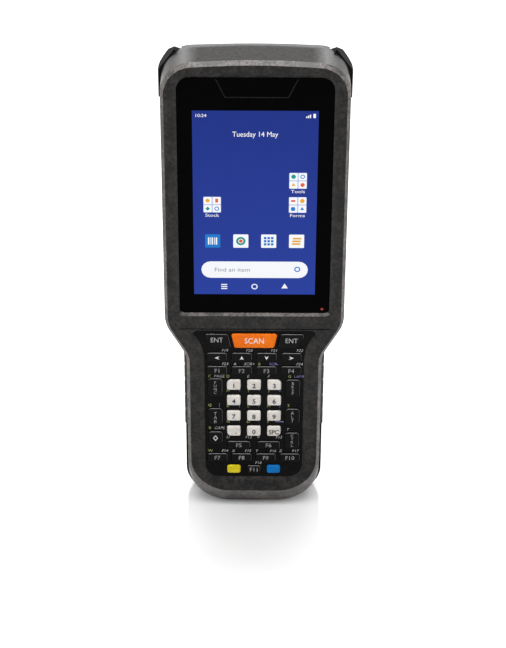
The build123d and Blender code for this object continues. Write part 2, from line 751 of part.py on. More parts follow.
def hinge_ears():
    """Four ears of the back housing that hold the door's pins."""
    room = HINGE_RADIUS + 2 * FIT
    inner = KNUCKLE_INNER - FIT
    outer = KNUCKLE_INNER + KNUCKLE_WIDTH + FIT
    ears = []
    for low, high in ((inner - EAR_WIDTH, inner), (outer, outer + EAR_WIDTH)):
        for x_range in ((low, high), (-high, -low)):
            foot = block(
                x_range,
                (HINGE_DEPTH - room - TOUCH, HINGE_DEPTH),
                (HINGE_HEIGHT - HINGE_RADIUS, HINGE_HEIGHT + HINGE_RADIUS),
            )
            ears.append(hinge_barrel(x_range, HINGE_RADIUS) + foot)
    return ears


def back_housing():
    """Back half of the shell with the battery well, hinge ears, bosses and openings."""
    form = back_form()
    shell = back_shell()
    reach = BODY_DEPTH + OVERRUN
    well_front = WELL_BACK - WELL_FLOOR
    frame = prism(door_face(WELL_WALL + FIT), DOOR_SEAT - WELL_FLOOR, reach) & form
    shell += frame + (prism(well_face(WELL_WALL), well_front, reach) & form)
    seat_half = DOOR_WIDTH / 2 + FIT + WELL_WALL
    hinge_seat = block(
        (-seat_half, seat_half),
        (HINGE_DEPTH - HINGE_RADIUS - 2 * FIT - WELL_FLOOR, reach),
        (WELL_TOP, HINGE_HEIGHT + HINGE_RADIUS + 2 * FIT + WELL_WALL),
    )
    shell += hinge_seat & form
    for x, z in screw_places():
        shell += prism(disc(x, z, SCREW_HEAD_RADIUS + BOSS_WALL), SPLIT_DEPTH, reach) & form
    for guide in trigger_guides():
        shell += guide & form
    shell -= prism(door_face(FIT), DOOR_SEAT - TOUCH, reach)
    shell -= prism(well_face(), WELL_BACK, reach)
    shell -= hinge_pocket()
    for ear in hinge_ears():
        shell += ear
    pins = KNUCKLE_INNER + KNUCKLE_WIDTH + HINGE_PIN_LENGTH + 2 * FIT
    shell -= hinge_barrel((-pins, pins), HINGE_PIN_RADIUS + HINGE_CLEARANCE) - hinge_barrel(
        (-KNUCKLE_INNER + HINGE_PIN_LENGTH + 2 * FIT, KNUCKLE_INNER - HINGE_PIN_LENGTH - 2 * FIT),
        HINGE_PIN_RADIUS * 2,
    )
    shell -= tongue_notch()
    for x, z in screw_places():
        shell -= prism(disc(x, z, SCREW_RADIUS + SCREW_PASS), SPLIT_DEPTH, SCREW_SEAT_DEPTH)
        shell -= prism(disc(x, z, SCREW_HEAD_RADIUS + FIT), SCREW_SEAT_DEPTH, reach)
    shell = cut_back_openings(shell)
    for pad in grip_pads() + corner_bumpers():
        shell -= pad
    return shell


def tongue_notch():
    """Notch under the door for the latch's tongue, open to the back so that it swings out."""
    half = TONGUE_WIDTH / 2 + FIT
    depth = latch_depths()[0] - FIT
    low = DOOR_LOW - TONGUE_REACH - 2 * FIT
    return block((-half, half), (depth, BODY_DEPTH), (low, DOOR_LOW))


def cut_back_openings(shell):
    """Cut the window, camera, flash, loudspeaker, contact and side button openings."""
    seat = WINDOW_SINK + WINDOW_THICKNESS
    recess = RectangleRounded(WINDOW_WIDTH + 2 * FIT, WINDOW_HEIGHT + 2 * FIT, WINDOW_CORNER + FIT)
    shell -= window_block(recess, -seat, OVERRUN)
    ledge = 2 * WINDOW_LEDGE
    aperture = RectangleRounded(WINDOW_WIDTH - ledge, WINDOW_HEIGHT - ledge, WINDOW_CORNER / 2)
    shell -= window_block(aperture, -WALL - CUT, -seat)
    for post in engine_posts():
        shell += post
    through = BODY_DEPTH - WALL - CUT, BODY_DEPTH + CUT
    shell -= prism(disc(0, CAMERA_HEIGHT, CAMERA_RADIUS + FIT), *through)
    shell -= prism(disc(FLASH_OFFSET, CAMERA_HEIGHT, FLASH_RADIUS + FIT), *through)
    for index in range(SLOT_COUNT):
        x = (index - (SLOT_COUNT - 1) / 2) * SLOT_PITCH
        slot = Pos(x, SPEAKER_HEIGHT) * SlotOverall(SLOT_LENGTH, SLOT_WIDTH, rotation=90)
        shell -= prism(slot, *through)
    for pocket in contact_row(FIT / 2, BODY_DEPTH):
        shell -= pocket
    for opening in side_openings():
        shell -= opening
    return shell


def engine_posts():
    """Posts on the inside of the sloping wall that carry the scan engine."""
    post = Pos(ENGINE_POST_X, 0) * Circle(ENGINE_POST_RADIUS)
    return both_sides(window_block(post, -WALL - ENGINE_POST_HEIGHT, -WALL))


def scan_window():
    """Tinted window in its recess on the sloping face."""
    sheet = RectangleRounded(WINDOW_WIDTH, WINDOW_HEIGHT, WINDOW_CORNER)
    return window_block(sheet, -WINDOW_SINK - WINDOW_THICKNESS, -WINDOW_SINK)


def scan_engine():
    """Scan engine: a plate on the posts, the body behind it and the lens in front."""
    front = -WALL - ENGINE_POST_HEIGHT
    back = front - ENGINE_PLATE_THICKNESS
    plate = RectangleRounded(2 * (ENGINE_POST_X + ENGINE_POST_RADIUS), ENGINE_HEIGHT, MODULE_CORNER)
    engine = window_block(plate, back, front)
    body = RectangleRounded(ENGINE_WIDTH, ENGINE_HEIGHT, MODULE_CORNER)
    engine += window_block(body, back - ENGINE_LENGTH, back)
    lens = Pos(-ENGINE_WIDTH / 4, 0) * Circle(ENGINE_LENS_RADIUS)
    return engine + window_block(lens, front, front + ENGINE_POST_HEIGHT)


def camera_module():
    """Rear camera and its flash on one base, seated on the inside of the back wall."""
    inner = BODY_DEPTH - WALL
    middle = FLASH_OFFSET / 2
    base = card(middle, CAMERA_HEIGHT, CAMERA_BASE + FLASH_OFFSET, CAMERA_BASE, MODULE_CORNER)
    module = prism(base, inner - CAMERA_DEPTH, inner)
    module += prism(disc(0, CAMERA_HEIGHT, CAMERA_RADIUS), inner, BODY_DEPTH - CAMERA_SINK)
    module += prism(disc(FLASH_OFFSET, CAMERA_HEIGHT, FLASH_RADIUS), inner, BODY_DEPTH - CAMERA_SINK)
    return module


def loudspeaker():
    """Loudspeaker behind the slots in the back wall."""
    inner = BODY_DEPTH - WALL
    return prism(card(0, SPEAKER_HEIGHT, *SPEAKER_SIZE, MODULE_CORNER), inner - SPEAKER_THICKNESS, inner)


def contact_row(margin, back):
    """Charging contacts in the foot's back face, or their pockets."""
    front = GRIP_DEPTH - CONTACT_SINK - CONTACT_THICKNESS
    row = []
    for index in range(CONTACT_COUNT):
        x = (index - (CONTACT_COUNT - 1) / 2) * CONTACT_PITCH
        width, height = CONTACT_WIDTH + 2 * margin, CONTACT_LENGTH + 2 * margin
        row.append(prism(card(x, CONTACT_HEIGHT, width, height, CONTACT_CORNER), front, back))
    return row


def housing_gasket():
    """Seal between the two housings, in its groove."""
    outer = GASKET_INSET + TOUCH
    inner = GASKET_INSET + GASKET_WIDTH - TOUCH
    ring = prism(front_outline(outer, outer, outer), SPLIT_DEPTH, SPLIT_DEPTH + GASKET_THICKNESS)
    return ring - prism(
        front_outline(inner, inner, inner), SPLIT_DEPTH, SPLIT_DEPTH + GASKET_THICKNESS
    )


def housing_screws():
    """Six screws with a recessed drive, each its own solid."""
    screws = []
    for x, z in screw_places():
        head_back = SCREW_SEAT_DEPTH + SCREW_HEAD_THICKNESS
        screw = prism(disc(x, z, SCREW_HEAD_RADIUS), SCREW_SEAT_DEPTH, head_back)
        screw += prism(disc(x, z, SCREW_RADIUS), SCREW_TIP_DEPTH, SCREW_SEAT_DEPTH)
        drive = Pos(x, z) * RegularPolygon(DRIVE_RADIUS, 6)
        screws.append(screw - prism(drive, head_back - DRIVE_SINK, head_back))
    return screws


# --- Side buttons -----------------------------------------------------------------


def side_key_card(length, width, corner, height, margin=0.0):
    """Outline of a side button in Y and Z."""
    shape = RectangleRounded(width + 2 * margin, length + 2 * margin, corner + margin)
    return Pos(at_depth(SIDE_KEY_DEPTH), height) * shape


def side_key(length, width, corner, height, proud, seat):
    """Button on the right side, held by its flange behind a seat at the given X."""
    outer = HEAD_WIDTH / 2 + proud
    flange_back = seat - TOUCH - SIDE_KEY_FLANGE_THICKNESS
    button = bar(side_key_card(length, width, corner, height), flange_back, outer)
    button = fillet(button.faces().sort_by(Axis.X)[-1].edges(), SIDE_KEY_ROUND)
    flange = side_key_card(length, width, corner, height, SIDE_KEY_FLANGE)
    return button + bar(flange, flange_back, seat - TOUCH)


def trigger_right():
    """Scan trigger on the right side of the waist, in its guide."""
    size = TRIGGER_LENGTH, TRIGGER_WIDTH, TRIGGER_CORNER
    return side_key(*size, TRIGGER_HEIGHT, TRIGGER_PROUD, TRIGGER_GUIDE)


def power_button():
    """Power button on the right side of the head, close to flush."""
    size = POWER_LENGTH, POWER_WIDTH, POWER_CORNER
    return side_key(*size, POWER_HEIGHT, POWER_PROUD, HEAD_INNER)


def trigger_guides():
    """Thick wall round each trigger, since the waist's own wall slopes away under it."""
    size = TRIGGER_LENGTH, TRIGGER_WIDTH, TRIGGER_CORNER
    guide = side_key_card(*size, TRIGGER_HEIGHT, FIT + TRIGGER_GUIDE_WALL)
    return both_sides(bar(guide, TRIGGER_GUIDE, HEAD_WIDTH))


def side_openings():
    """Openings in the back housing's sides for the triggers and the power button."""
    trigger = side_key_card(TRIGGER_LENGTH, TRIGGER_WIDTH, TRIGGER_CORNER, TRIGGER_HEIGHT, FIT)
    power = side_key_card(POWER_LENGTH, POWER_WIDTH, POWER_CORNER, POWER_HEIGHT, FIT)
    flange = side_key_card(
        TRIGGER_LENGTH, TRIGGER_WIDTH, TRIGGER_CORNER, TRIGGER_HEIGHT, SIDE_KEY_FLANGE + FIT
    )
    openings = both_sides(bar(trigger, TRIGGER_GUIDE - CUT, HEAD_WIDTH))
    openings += both_sides(bar(flange, TRIGGER_GUIDE - WALL, TRIGGER_GUIDE))
    return openings + [bar(power, HEAD_INNER - CUT, HEAD_WIDTH)]


# --- Battery, door and latch ------------------------------------------------------


def battery_pack():
    """Battery pack that lies on the floor of the well."""
    pack = prism(well_face(-BATTERY_GAP), WELL_BACK, WELL_BACK + BATTERY_THICKNESS)
    return fillet(pack.faces().sort_by(Axis.Y)[-1].edges(), BATTERY_EDGE)


def door_knuckles():
    """Two barrels with pins and the arms that join them to the door."""
    knuckles = []
    start, end = KNUCKLE_INNER, KNUCKLE_INNER + KNUCKLE_WIDTH
    for x_range in ((start, end), (-end, -start)):
        pin_range = x_range[0] - HINGE_PIN_LENGTH, x_range[1] + HINGE_PIN_LENGTH
        arm = block(
            x_range,
            (DOOR_SEAT, HINGE_DEPTH + HINGE_RADIUS),
            (HINGE_HEIGHT - DOOR_TOP_DROP - CUT, HINGE_HEIGHT),
        )
        barrel = hinge_barrel(x_range, HINGE_RADIUS)
        knuckles.append(barrel + hinge_barrel(pin_range, HINGE_PIN_RADIUS) + arm)
    return knuckles


def latch_slot():
    """Stepped slot in the door that the latch slides in."""
    low = LATCH_LOW
    top = LATCH_LOW + LATCH_HEIGHT + LATCH_TRAVEL + FIT
    half = LATCH_WIDTH / 2 + FIT
    wing = half + LATCH_WING
    front, step = latch_depths()
    slot = block((-half, half), (step - TOUCH, BODY_DEPTH), (low - FIT, top))
    slot += block((-wing, wing), (front - TOUCH, step + TOUCH), (low - FIT, top))
    tongue = TONGUE_WIDTH / 2 + FIT
    return slot + block((-tongue, tongue), (front - TOUCH, step + TOUCH), (DOOR_LOW - CUT, low))


def latch_depths():
    """Front depth of the latch's wings and of its cap."""
    front = GRIP_DEPTH - FIT - LATCH_CAP_THICKNESS - LATCH_WING_THICKNESS
    return front, front + LATCH_WING_THICKNESS


def battery_latch():
    """Sliding latch: a ridged cap, wings under the door's skin and a tongue."""
    front, step = latch_depths()
    half = LATCH_WIDTH / 2
    span = (LATCH_LOW, LATCH_LOW + LATCH_HEIGHT)
    cap_back = step + LATCH_CAP_THICKNESS
    cap = block((-half, half), (front, cap_back), span)
    groove = half - LATCH_GROOVE_MARGIN
    for index in range(LATCH_GROOVES):
        low = LATCH_LOW + LATCH_HEIGHT * (index + 1) / (LATCH_GROOVES + 1) - LATCH_GROOVE_WIDTH / 2
        z_range = low, low + LATCH_GROOVE_WIDTH
        cap -= block((-groove, groove), (cap_back - LATCH_GROOVE_SINK, cap_back), z_range)
    wings = block((-half - LATCH_WING, half + LATCH_WING), (front, step), span)
    tongue = block(
        (-TONGUE_WIDTH / 2, TONGUE_WIDTH / 2), (front, step), (DOOR_LOW - TONGUE_REACH, LATCH_LOW)
    )
    return cap + wings + tongue


def battery_door():
    """Battery door with the grip's outer form, its hinge barrels and the latch slot."""
    door = prism(door_face(), DOOR_SEAT, BODY_DEPTH) & back_form()
    for knuckle in door_knuckles():
        door += knuckle
    return door - latch_slot()


# --- Rubber parts -----------------------------------------------------------------


def grip_pads():
    """Ribbed rubber pad let into each side of the grip, and proud of it."""
    half = GRIP_WIDTH / 2
    depths = (PAD_FRONT_DEPTH, PAD_BACK_DEPTH)
    top = PAD_LOW + (RIB_COUNT - 1) * RIB_PITCH + RIB_LENGTH
    pad = block((half - PAD_SINK, half + PAD_PROUD), depths, (PAD_LOW, top))
    for index in range(RIB_COUNT):
        low = PAD_LOW + index * RIB_PITCH
        rib = block((half - PAD_SINK, half + RIB_PROUD), depths, (low, low + RIB_LENGTH))
        pad += fillet(rib.faces().sort_by(Axis.X)[-1].edges(), (RIB_PROUD - PAD_PROUD) * RIB_SOFT)
    return both_sides(pad)


def corner_bumpers():
    """Rubber bumpers let into the four corners of the back housing."""
    outer = back_form(BUMPER_PROUD, FOOT_BUMPER_CORNER, HEAD_BUMPER_CORNER)
    skin = outer - back_form(-BUMPER_SINK)
    outside = HEAD_WIDTH
    head = block(
        (HEAD_BUMPER_INNER, outside),
        (HEAD_BUMPER_FRONT, HEAD_BUMPER_BACK),
        (HEAD_BUMPER_LOW, LENGTH + OVERRUN),
    )
    foot = block(
        (FOOT_BUMPER_INNER, outside),
        (FOOT_BUMPER_FRONT, FOOT_BUMPER_BACK),
        (FOOT_BUMPER_LOW, FOOT_BUMPER_TOP),
    )
    return both_sides(skin & head) + both_sides(skin & foot)


# --- Writing the parts ------------------------------------------------------------


def write(name, *shapes):
    """Write one sub-part, which may hold several separate solids."""
    solids = [solid for shape in shapes for solid in shape.solids()]
    shape = solids[0] if len(solids) == 1 else Compound(children=solids)
    export_step(shape, f"parts/{name}.step")


def main():
    os.makedirs("parts", exist_ok=True)
    keys = key_layout()
    for name, (points, radii) in keys.items():
        write(name, key_cap(points, radii))
    write("front_housing", front_housing(keys))
    write("touch_glass", touch_glass())
    write("display_module", display_module())
    write("main_board", main_board())
    write("keypad_mat", keypad_mat())
    write("key_board", key_board())
    write("back_housing", back_housing())
    write("housing_gasket", housing_gasket())
    write("housing_screws", *housing_screws())
    write("scan_window", scan_window())
    write("scan_engine", scan_engine())
    write("camera_module", camera_module())
    write("loudspeaker", loudspeaker())
    write("charging_contacts", *contact_row(0, GRIP_DEPTH - CONTACT_SINK))
    trigger = trigger_right()
    write("trigger_right", trigger)
    write("trigger_left", mirror(trigger, about=Plane.YZ))
    write("power_button", power_button())
    write("battery_pack", battery_pack())
    write("battery_door", battery_door())
    write("battery_latch", battery_latch())
    write("grip_pads", *grip_pads())
    write("corner_bumpers", *corner_bumpers())


main()
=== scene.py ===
import json
import math

import bmesh
import bpy
from mathutils import Matrix, Vector

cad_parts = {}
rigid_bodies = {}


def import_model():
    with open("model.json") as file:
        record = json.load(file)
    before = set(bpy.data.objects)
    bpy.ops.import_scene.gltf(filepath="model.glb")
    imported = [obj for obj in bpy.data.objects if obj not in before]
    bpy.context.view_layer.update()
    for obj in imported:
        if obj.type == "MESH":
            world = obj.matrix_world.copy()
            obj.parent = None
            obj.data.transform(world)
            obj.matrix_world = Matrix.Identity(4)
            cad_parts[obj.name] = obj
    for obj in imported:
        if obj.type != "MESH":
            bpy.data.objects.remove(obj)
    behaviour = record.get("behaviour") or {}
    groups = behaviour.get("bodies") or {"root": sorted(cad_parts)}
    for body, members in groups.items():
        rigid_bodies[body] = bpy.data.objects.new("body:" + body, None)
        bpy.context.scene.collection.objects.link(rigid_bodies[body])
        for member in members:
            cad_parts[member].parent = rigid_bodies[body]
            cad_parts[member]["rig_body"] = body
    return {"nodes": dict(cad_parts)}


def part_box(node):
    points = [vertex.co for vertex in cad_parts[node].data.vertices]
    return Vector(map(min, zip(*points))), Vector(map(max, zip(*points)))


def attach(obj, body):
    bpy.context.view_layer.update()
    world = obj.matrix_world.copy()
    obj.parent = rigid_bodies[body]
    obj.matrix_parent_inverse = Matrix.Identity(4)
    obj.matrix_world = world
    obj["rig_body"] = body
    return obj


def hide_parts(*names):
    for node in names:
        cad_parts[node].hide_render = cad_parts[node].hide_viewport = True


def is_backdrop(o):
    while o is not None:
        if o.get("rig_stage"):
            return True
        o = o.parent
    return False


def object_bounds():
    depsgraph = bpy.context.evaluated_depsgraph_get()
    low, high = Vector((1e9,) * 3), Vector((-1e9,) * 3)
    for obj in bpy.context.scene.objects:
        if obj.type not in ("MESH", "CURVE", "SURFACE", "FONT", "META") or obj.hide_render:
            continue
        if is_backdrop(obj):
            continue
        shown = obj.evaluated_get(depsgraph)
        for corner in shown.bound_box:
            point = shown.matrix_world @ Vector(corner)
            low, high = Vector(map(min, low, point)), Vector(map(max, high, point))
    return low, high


for left_over in list(bpy.data.objects):
    bpy.data.objects.remove(left_over)

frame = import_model()
cad_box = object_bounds()

# Lengths below are in millimetres, in the frame of the part, unless a name says metres.
MM = 0.001
# Depths of the part's front and of the surfaces that the layers lie on, from the frame
FRONT = round(cad_box[0][1] / MM, 2)
RECESS_FLOOR = FRONT + 1.0
KEY_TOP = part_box("key_1")[0].y / MM
GLASS_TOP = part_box("touch_glass")[0].y / MM
LENS_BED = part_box("camera_module")[1].y / MM
BATTERY_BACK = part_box("battery_pack")[1].y / MM

# Place and size of the lit picture, as seen from the front
PICTURE_ROW = 155.8
PICTURE_WIDTH, PICTURE_HEIGHT = 51.84, 86.4
PICTURE_FOOT = PICTURE_ROW - PICTURE_HEIGHT / 2
PICTURE_TOP = PICTURE_ROW + PICTURE_HEIGHT / 2


# --- Materials ---------------------------------------------------------------------


def linear(colour):
    """The linear colour of an sRGB hex value."""
    parts = [int(colour[place : place + 2], 16) / 255 for place in (1, 3, 5)]
    return [p / 12.92 if p <= 0.04045 else ((p + 0.055) / 1.055) ** 2.4 for p in parts] + [1.0]


def add(tree, kind, values=(), links=(), **settings):
    """Adds a node with its settings, the values of its inputs and the outputs that feed it."""
    node = tree.nodes.new("ShaderNode" + kind)
    for name, value in settings.items():
        setattr(node, name, value)
    for socket, value in dict(values).items():
        node.inputs[socket].default_value = value
    for socket, output in dict(links).items():
        tree.links.new(output, node.inputs[socket])
    return node


def finish(name, roughness, **sockets):
    """An empty material with its shader: the material, its tree, the shader and object places."""
    material = bpy.data.materials.new(name)
    material.use_nodes = True
    tree = material.node_tree
    tree.nodes.clear()
    values = {"Roughness": roughness}
    values |= {socket.replace("_", " "): value for socket, value in sockets.items()}
    shader = add(tree, "BsdfPrincipled", values)
    add(tree, "OutputMaterial", links={"Surface": shader.outputs["BSDF"]})
    return material, tree, shader, add(tree, "TexCoord").outputs["Object"]


def feed(tree, shader, outputs):
    """Links outputs to a shader, each to the socket that it is given for."""
    for socket, output in outputs.items():
        tree.links.new(output, shader.inputs[socket])


def lumps(size, detail=3.0):
    """Values for noise whose lumps are about a size in millimetres."""
    return {"Scale": 1 / (size * MM), "Detail": detail, "Roughness": 0.6}


def span(start, end, low, high):
    """Values that stretch what lies between start and end to run from low to high."""
    return {"From Min": start, "From Max": end, "To Min": low, "To Max": high}


def hues(first, second):
    """Values for a mix of two hex colours."""
    return {6: linear(first), 7: linear(second)}


def within(tree, places, middle, half):
    """1 inside a box in millimetres around a middle, 0 outside it, with a soft edge."""
    size = [1 / (reach * MM) for reach in half]
    shift = [-centre / reach for centre, reach in zip(middle, half)]
    shares = add(tree, "Mapping", {"Location": shift, "Scale": size}, {"Vector": places}).outputs[0]
    shares = add(tree, "VectorMath", {}, {0: shares}, operation="ABSOLUTE").outputs[0]
    x, y, z = add(tree, "SeparateXYZ", {}, {0: shares}).outputs
    most = add(tree, "Math", {}, {0: x, 1: y}, operation="MAXIMUM").outputs[0]
    most = add(tree, "Math", {}, {0: most, 1: z}, operation="MAXIMUM").outputs[0]
    return add(tree, "MapRange", span(0.8, 1.0, 1.0, 0.0), {"Value": most}).outputs["Result"]


# What most noise lies between, and what the product of two noises does
NOISE_SPAN = (0.3, 0.7)
TONE_SPAN = (0.185, 0.325)
# How much rougher the coarse field of the head is
COARSER = 0.34


def moulded(
    name, dark, light, roughness, grain, depth, cloud=14.0, uneven=0.06, coarse=None, **sockets
):
    """Moulded plastic or rubber: a grain in the tool's face, clouds of tone and uneven gloss.

    The grain and its depth and the clouds are in millimetres, and grains too fine to show are
    drawn at half a millimetre or more. Inside a coarse box, given by its middle and half its
    size, the piece is rougher."""
    material, tree, shader, places = finish(name, roughness, **sockets)
    fine = add(tree, "TexNoise", lumps(grain), {"Vector": places}).outputs["Fac"]
    broad = add(tree, "TexNoise", lumps(cloud, 4.0), {"Vector": places}).outputs["Fac"]
    tone = add(tree, "Math", {}, {0: fine, 1: broad}, operation="MULTIPLY").outputs[0]
    tone = add(tree, "MapRange", span(*TONE_SPAN, 0.0, 1.0), {"Value": tone}).outputs[0]
    colour = add(tree, "Mix", hues(dark, light), {0: tone}, data_type="RGBA").outputs[2]
    glosses = span(*NOISE_SPAN, roughness - uneven, roughness + uneven)
    gloss = add(tree, "MapRange", glosses, {"Value": broad}).outputs[0]
    if coarse:
        factors = {0: within(tree, places, *coarse), 2: gloss}
        gloss = add(tree, "Math", {1: COARSER}, factors, operation="MULTIPLY_ADD").outputs[0]
    relief = {"Strength": 1.0, "Distance": depth * MM}
    bump = add(tree, "Bump", relief, {"Height": fine}).outputs[0]
    feed(tree, shader, {"Base Color": colour, "Roughness": gloss, "Normal": bump})
    return material


def worked_metal(name, dark, light, roughness, line, depth):
    """Metal with fine tool lines across it and a tarnish in clouds."""
    material, tree, shader, places = finish(name, roughness, Metallic=1.0)
    across = add(tree, "Mapping", {"Scale": (1.0, 1.0, 12.0)}, {"Vector": places}).outputs[0]
    lines = add(tree, "TexNoise", lumps(line), {"Vector": across}).outputs["Fac"]
    clouds = add(tree, "TexNoise", lumps(3.0), {"Vector": places}).outputs["Fac"]
    tone = add(tree, "MapRange", span(*NOISE_SPAN, 0.0, 1.0), {"Value": clouds}).outputs[0]
    colour = add(tree, "Mix", hues(dark, light), {0: tone}, data_type="RGBA").outputs[2]
    glosses = span(*NOISE_SPAN, roughness - 0.08, roughness + 0.08)
    gloss = add(tree, "MapRange", glosses, {"Value": lines}).outputs[0]
    relief = {"Strength": 1.0, "Distance": depth * MM}
    bump = add(tree, "Bump", relief, {"Height": lines}).outputs[0]
    feed(tree, shader, {"Base Color": colour, "Roughness": gloss, "Normal": bump})
    return material


def lit(name, low, top):
    """Light of the display behind its glass: a tone that runs up the picture, faintly rippled."""
    material, tree, shader, places = finish(
        name, 0.08, Specular_IOR_Level=0.05, Emission_Strength=1.0
    )
    shader.inputs["Base Color"].default_value = linear("#050506")
    height = add(tree, "SeparateXYZ", {}, {0: places}).outputs["Z"]
    whole = span(PICTURE_FOOT * MM, PICTURE_TOP * MM, 0.0, 1.0)
    rise = add(tree, "MapRange", whole, {"Value": height}).outputs[0]
    grain = add(tree, "TexNoise", lumps(9.0), {"Vector": places}).outputs["Fac"]
    ripple = add(tree, "MapRange", span(*NOISE_SPAN, -0.05, 0.05), {"Value": grain}).outputs[0]
    tone = add(tree, "Math", {}, {0: rise, 1: ripple}, operation="ADD", use_clamp=True).outputs[0]
    colour = add(tree, "Mix", hues(low, top), {0: tone}, data_type="RGBA").outputs[2]
    feed(tree, shader, {"Emission Color": colour})
    return material


# The numbers of each are its roughness, the size and the depth of its grain and the size of its
# clouds, as moulded() takes them.

# Polycarbonate and ABS blend from a spark-eroded tool: a nearly black grey with a leathery
# mottle, drawn at about 1.5 mm so that it shows. The top of the head has a coarser field that
# takes less light.
HEAD_FIELD = ((0, FRONT + 8.6, 221.0), (29.0, 8.8, 6.0))
shell_texture = moulded(
    "pc_abs_spark_textured",
    "#030303",
    "#272422",
    roughness=0.36,
    grain=1.5,
    depth=0.1,
    cloud=5.0,
    coarse=HEAD_FIELD,
    Specular_IOR_Level=0.22,
)
# The same blend on the narrow facets round the front, painted lighter than the shell: a painted
# highlight, a thin grey line where they would catch the light.
facet_painted_highlight = moulded(
    "pc_abs_facet_painted_highlight", "#343130", "#66615E", 0.36, 1.2, 0.05, 6.0, Specular_IOR_Level=0.36
)
# The same blend from a polished tool: a deep black with a slow orange peel.
keypad_gloss = moulded(
    "pc_abs_polished_black",
    "#040404",
    "#0B0A0A",
    roughness=0.22,
    grain=2.2,
    depth=0.01,
    cloud=18.0,
    uneven=0.04,
    Specular_IOR_Level=0.06,
)
# Thermoplastic rubber of the ribbed pads and buttons: black, with a pale bloom where it is
# seen at a slant, as on its edges.
BLOOM = {"Specular_IOR_Level": 0.5, "Sheen_Weight": 0.25, "Sheen_Roughness": 0.3}
pad_rubber = moulded("tpe_ribbed_black", "#0A0909", "#1A1818", 0.28, 0.7, 0.02, 9.0, **BLOOM)
# The same rubber, moulded over the corners: black, dull, with a fine dry grain.
bumper_rubber = moulded(
    "tpe_moulded_black", "#070606", "#121010", 0.7, 0.6, 0.03, 9.0, Specular_IOR_Level=0.08
)
# Silicone rubber key caps under a clear hard coat: black with a soft shine.
cap_black = moulded(
    "silicone_coated_black", "#030303", "#080707", 0.22, 1.4, 0.008, 8.0, Specular_IOR_Level=0.08
)
# The same on the rounded rim of a cap at its top and right, painted grey: a painted highlight
# where the light would catch it.
cap_rim_painted_highlight = moulded("silicone_rim_painted_highlight", "#2C2A29", "#454241", 0.3, 1.0, 0.008, 5.0)
# The same in other pigments: a dull shine, and tones that vary softly, as handled rubber's do.
DULL = {"Specular_IOR_Level": 0.12}
cap_ivory = moulded("silicone_coated_ivory", "#CFC9C2", "#DEDAD4", 0.38, 0.7, 0.01, 6.0, **DULL)
cap_orange = moulded("silicone_coated_orange", "#E56A08", "#F27A14", 0.36, 1.0, 0.01, 9.0, **DULL)
cap_amber = moulded("silicone_coated_amber", "#C9B70F", "#D8C82A", 0.36, 1.0, 0.01, 6.0, **DULL)
cap_cyan = moulded("silicone_coated_blue", "#0068AE", "#0074BE", 0.36, 1.0, 0.01, 6.0, **DULL)
# Silicone rubber mat and gasket, moulded: grey, matt, faintly cloudy.
mat_silicone = moulded("silicone_moulded_grey", "#5A5C5E", "#727476", 0.7, 0.9, 0.02)
# Strengthened glass, inked black behind and coated against glare: nearly black, and what
# shine it has is broken by faint finger marks.
cover_glass = moulded(
    "glass_coated_black",
    "#010101",
    "#020202",
    roughness=0.07,
    grain=5.0,
    depth=0.0005,
    cloud=24.0,
    uneven=0.03,
    Specular_IOR_Level=0.015,
)
# Acrylic dyed red: it lets the scan beam out, and looks dark and wet from outside.
window_acrylic = moulded(
    "acrylic_dyed_red", "#1E0204", "#320407", 0.05, 6.0, 0.001, 20.0, 0.02, Specular_IOR_Level=0.6
)
# Coated lens of the camera: black glass with a blue cast, quite smooth.
lens_glass = moulded("glass_coated_lens", "#020308", "#070B1C", 0.04, 3.0, 0.0005, 6.0, 0.02)
# Frosted acrylic over the lamp beside the camera: milky, with a fine tooth.
flash_diffuser = moulded("acrylic_frosted_clear", "#C8C4A8", "#E2DFC8", 0.3, 0.5, 0.01, 2.0)
# Glass-filled nylon of the modules: black, with a stone-like fleck.
module_nylon = moulded("nylon_glass_filled_black", "#171717", "#2A2A2B", 0.5, 0.5, 0.02, 5.0)
# ABS shell of the battery, moulded: mid grey, finely matt.
battery_abs = moulded("abs_matt_grey", "#2E3033", "#3C3F43", 0.48, 0.6, 0.02)
# Acetal latch, moulded: dark, waxy, smooth.
latch_acetal = moulded("acetal_waxy_grey", "#3A3B3D", "#4A4C4F", 0.34, 1.2, 0.01)
# Glass and epoxy board under a printed mask: dark green, with a satin shine.
board_epoxy = moulded("fr4_green_mask", "#0D3A22", "#14502F", 0.35, 1.5, 0.01)
# Pad-printed inks, by their tones: flat, a little chalky and faintly worn.
ink_white = moulded("pad_print_white", "#A9A9AB", "#C9C9CB", 0.55, 0.5, 0.002)
ink_grey = moulded("pad_print_grey", "#77777A", "#98989B", 0.55, 0.5, 0.002)
ink_dark = moulded("pad_print_dark", "#1C1B1B", "#302E2E", 0.55, 0.5, 0.002)
ink_line = moulded("pad_print_dim", "#1A1918", "#242322", 0.5, 0.5, 0.002, Specular_IOR_Level=0.05)
ink_pale = moulded("pad_print_pale", "#9C9C9E", "#B8B8BA", 0.55, 0.5, 0.002)
ink_lime = moulded("pad_print_lime", "#8E934C", "#A6AA62", 0.55, 0.5, 0.002)
ink_violet = moulded("pad_print_violet", "#625F92", "#7A77AC", 0.55, 0.5, 0.002)
ink_red = moulded("pad_print_red", "#A02420", "#BE3630", 0.5, 0.5, 0.002)
ink_bright = moulded("pad_print_bright", "#D9D9DA", "#EDEDED", 0.5, 0.5, 0.002)
# Screws in zinc-plated steel: a cool pale grey. Contacts plated with gold: a warm shine.
screw_steel = worked_metal("steel_zinc_plated", "#8E9093", "#B4B6B8", 0.34, 0.8, 0.01)
contact_gold = worked_metal("gold_plated", "#C99A3A", "#E6BE62", 0.28, 1.0, 0.005)

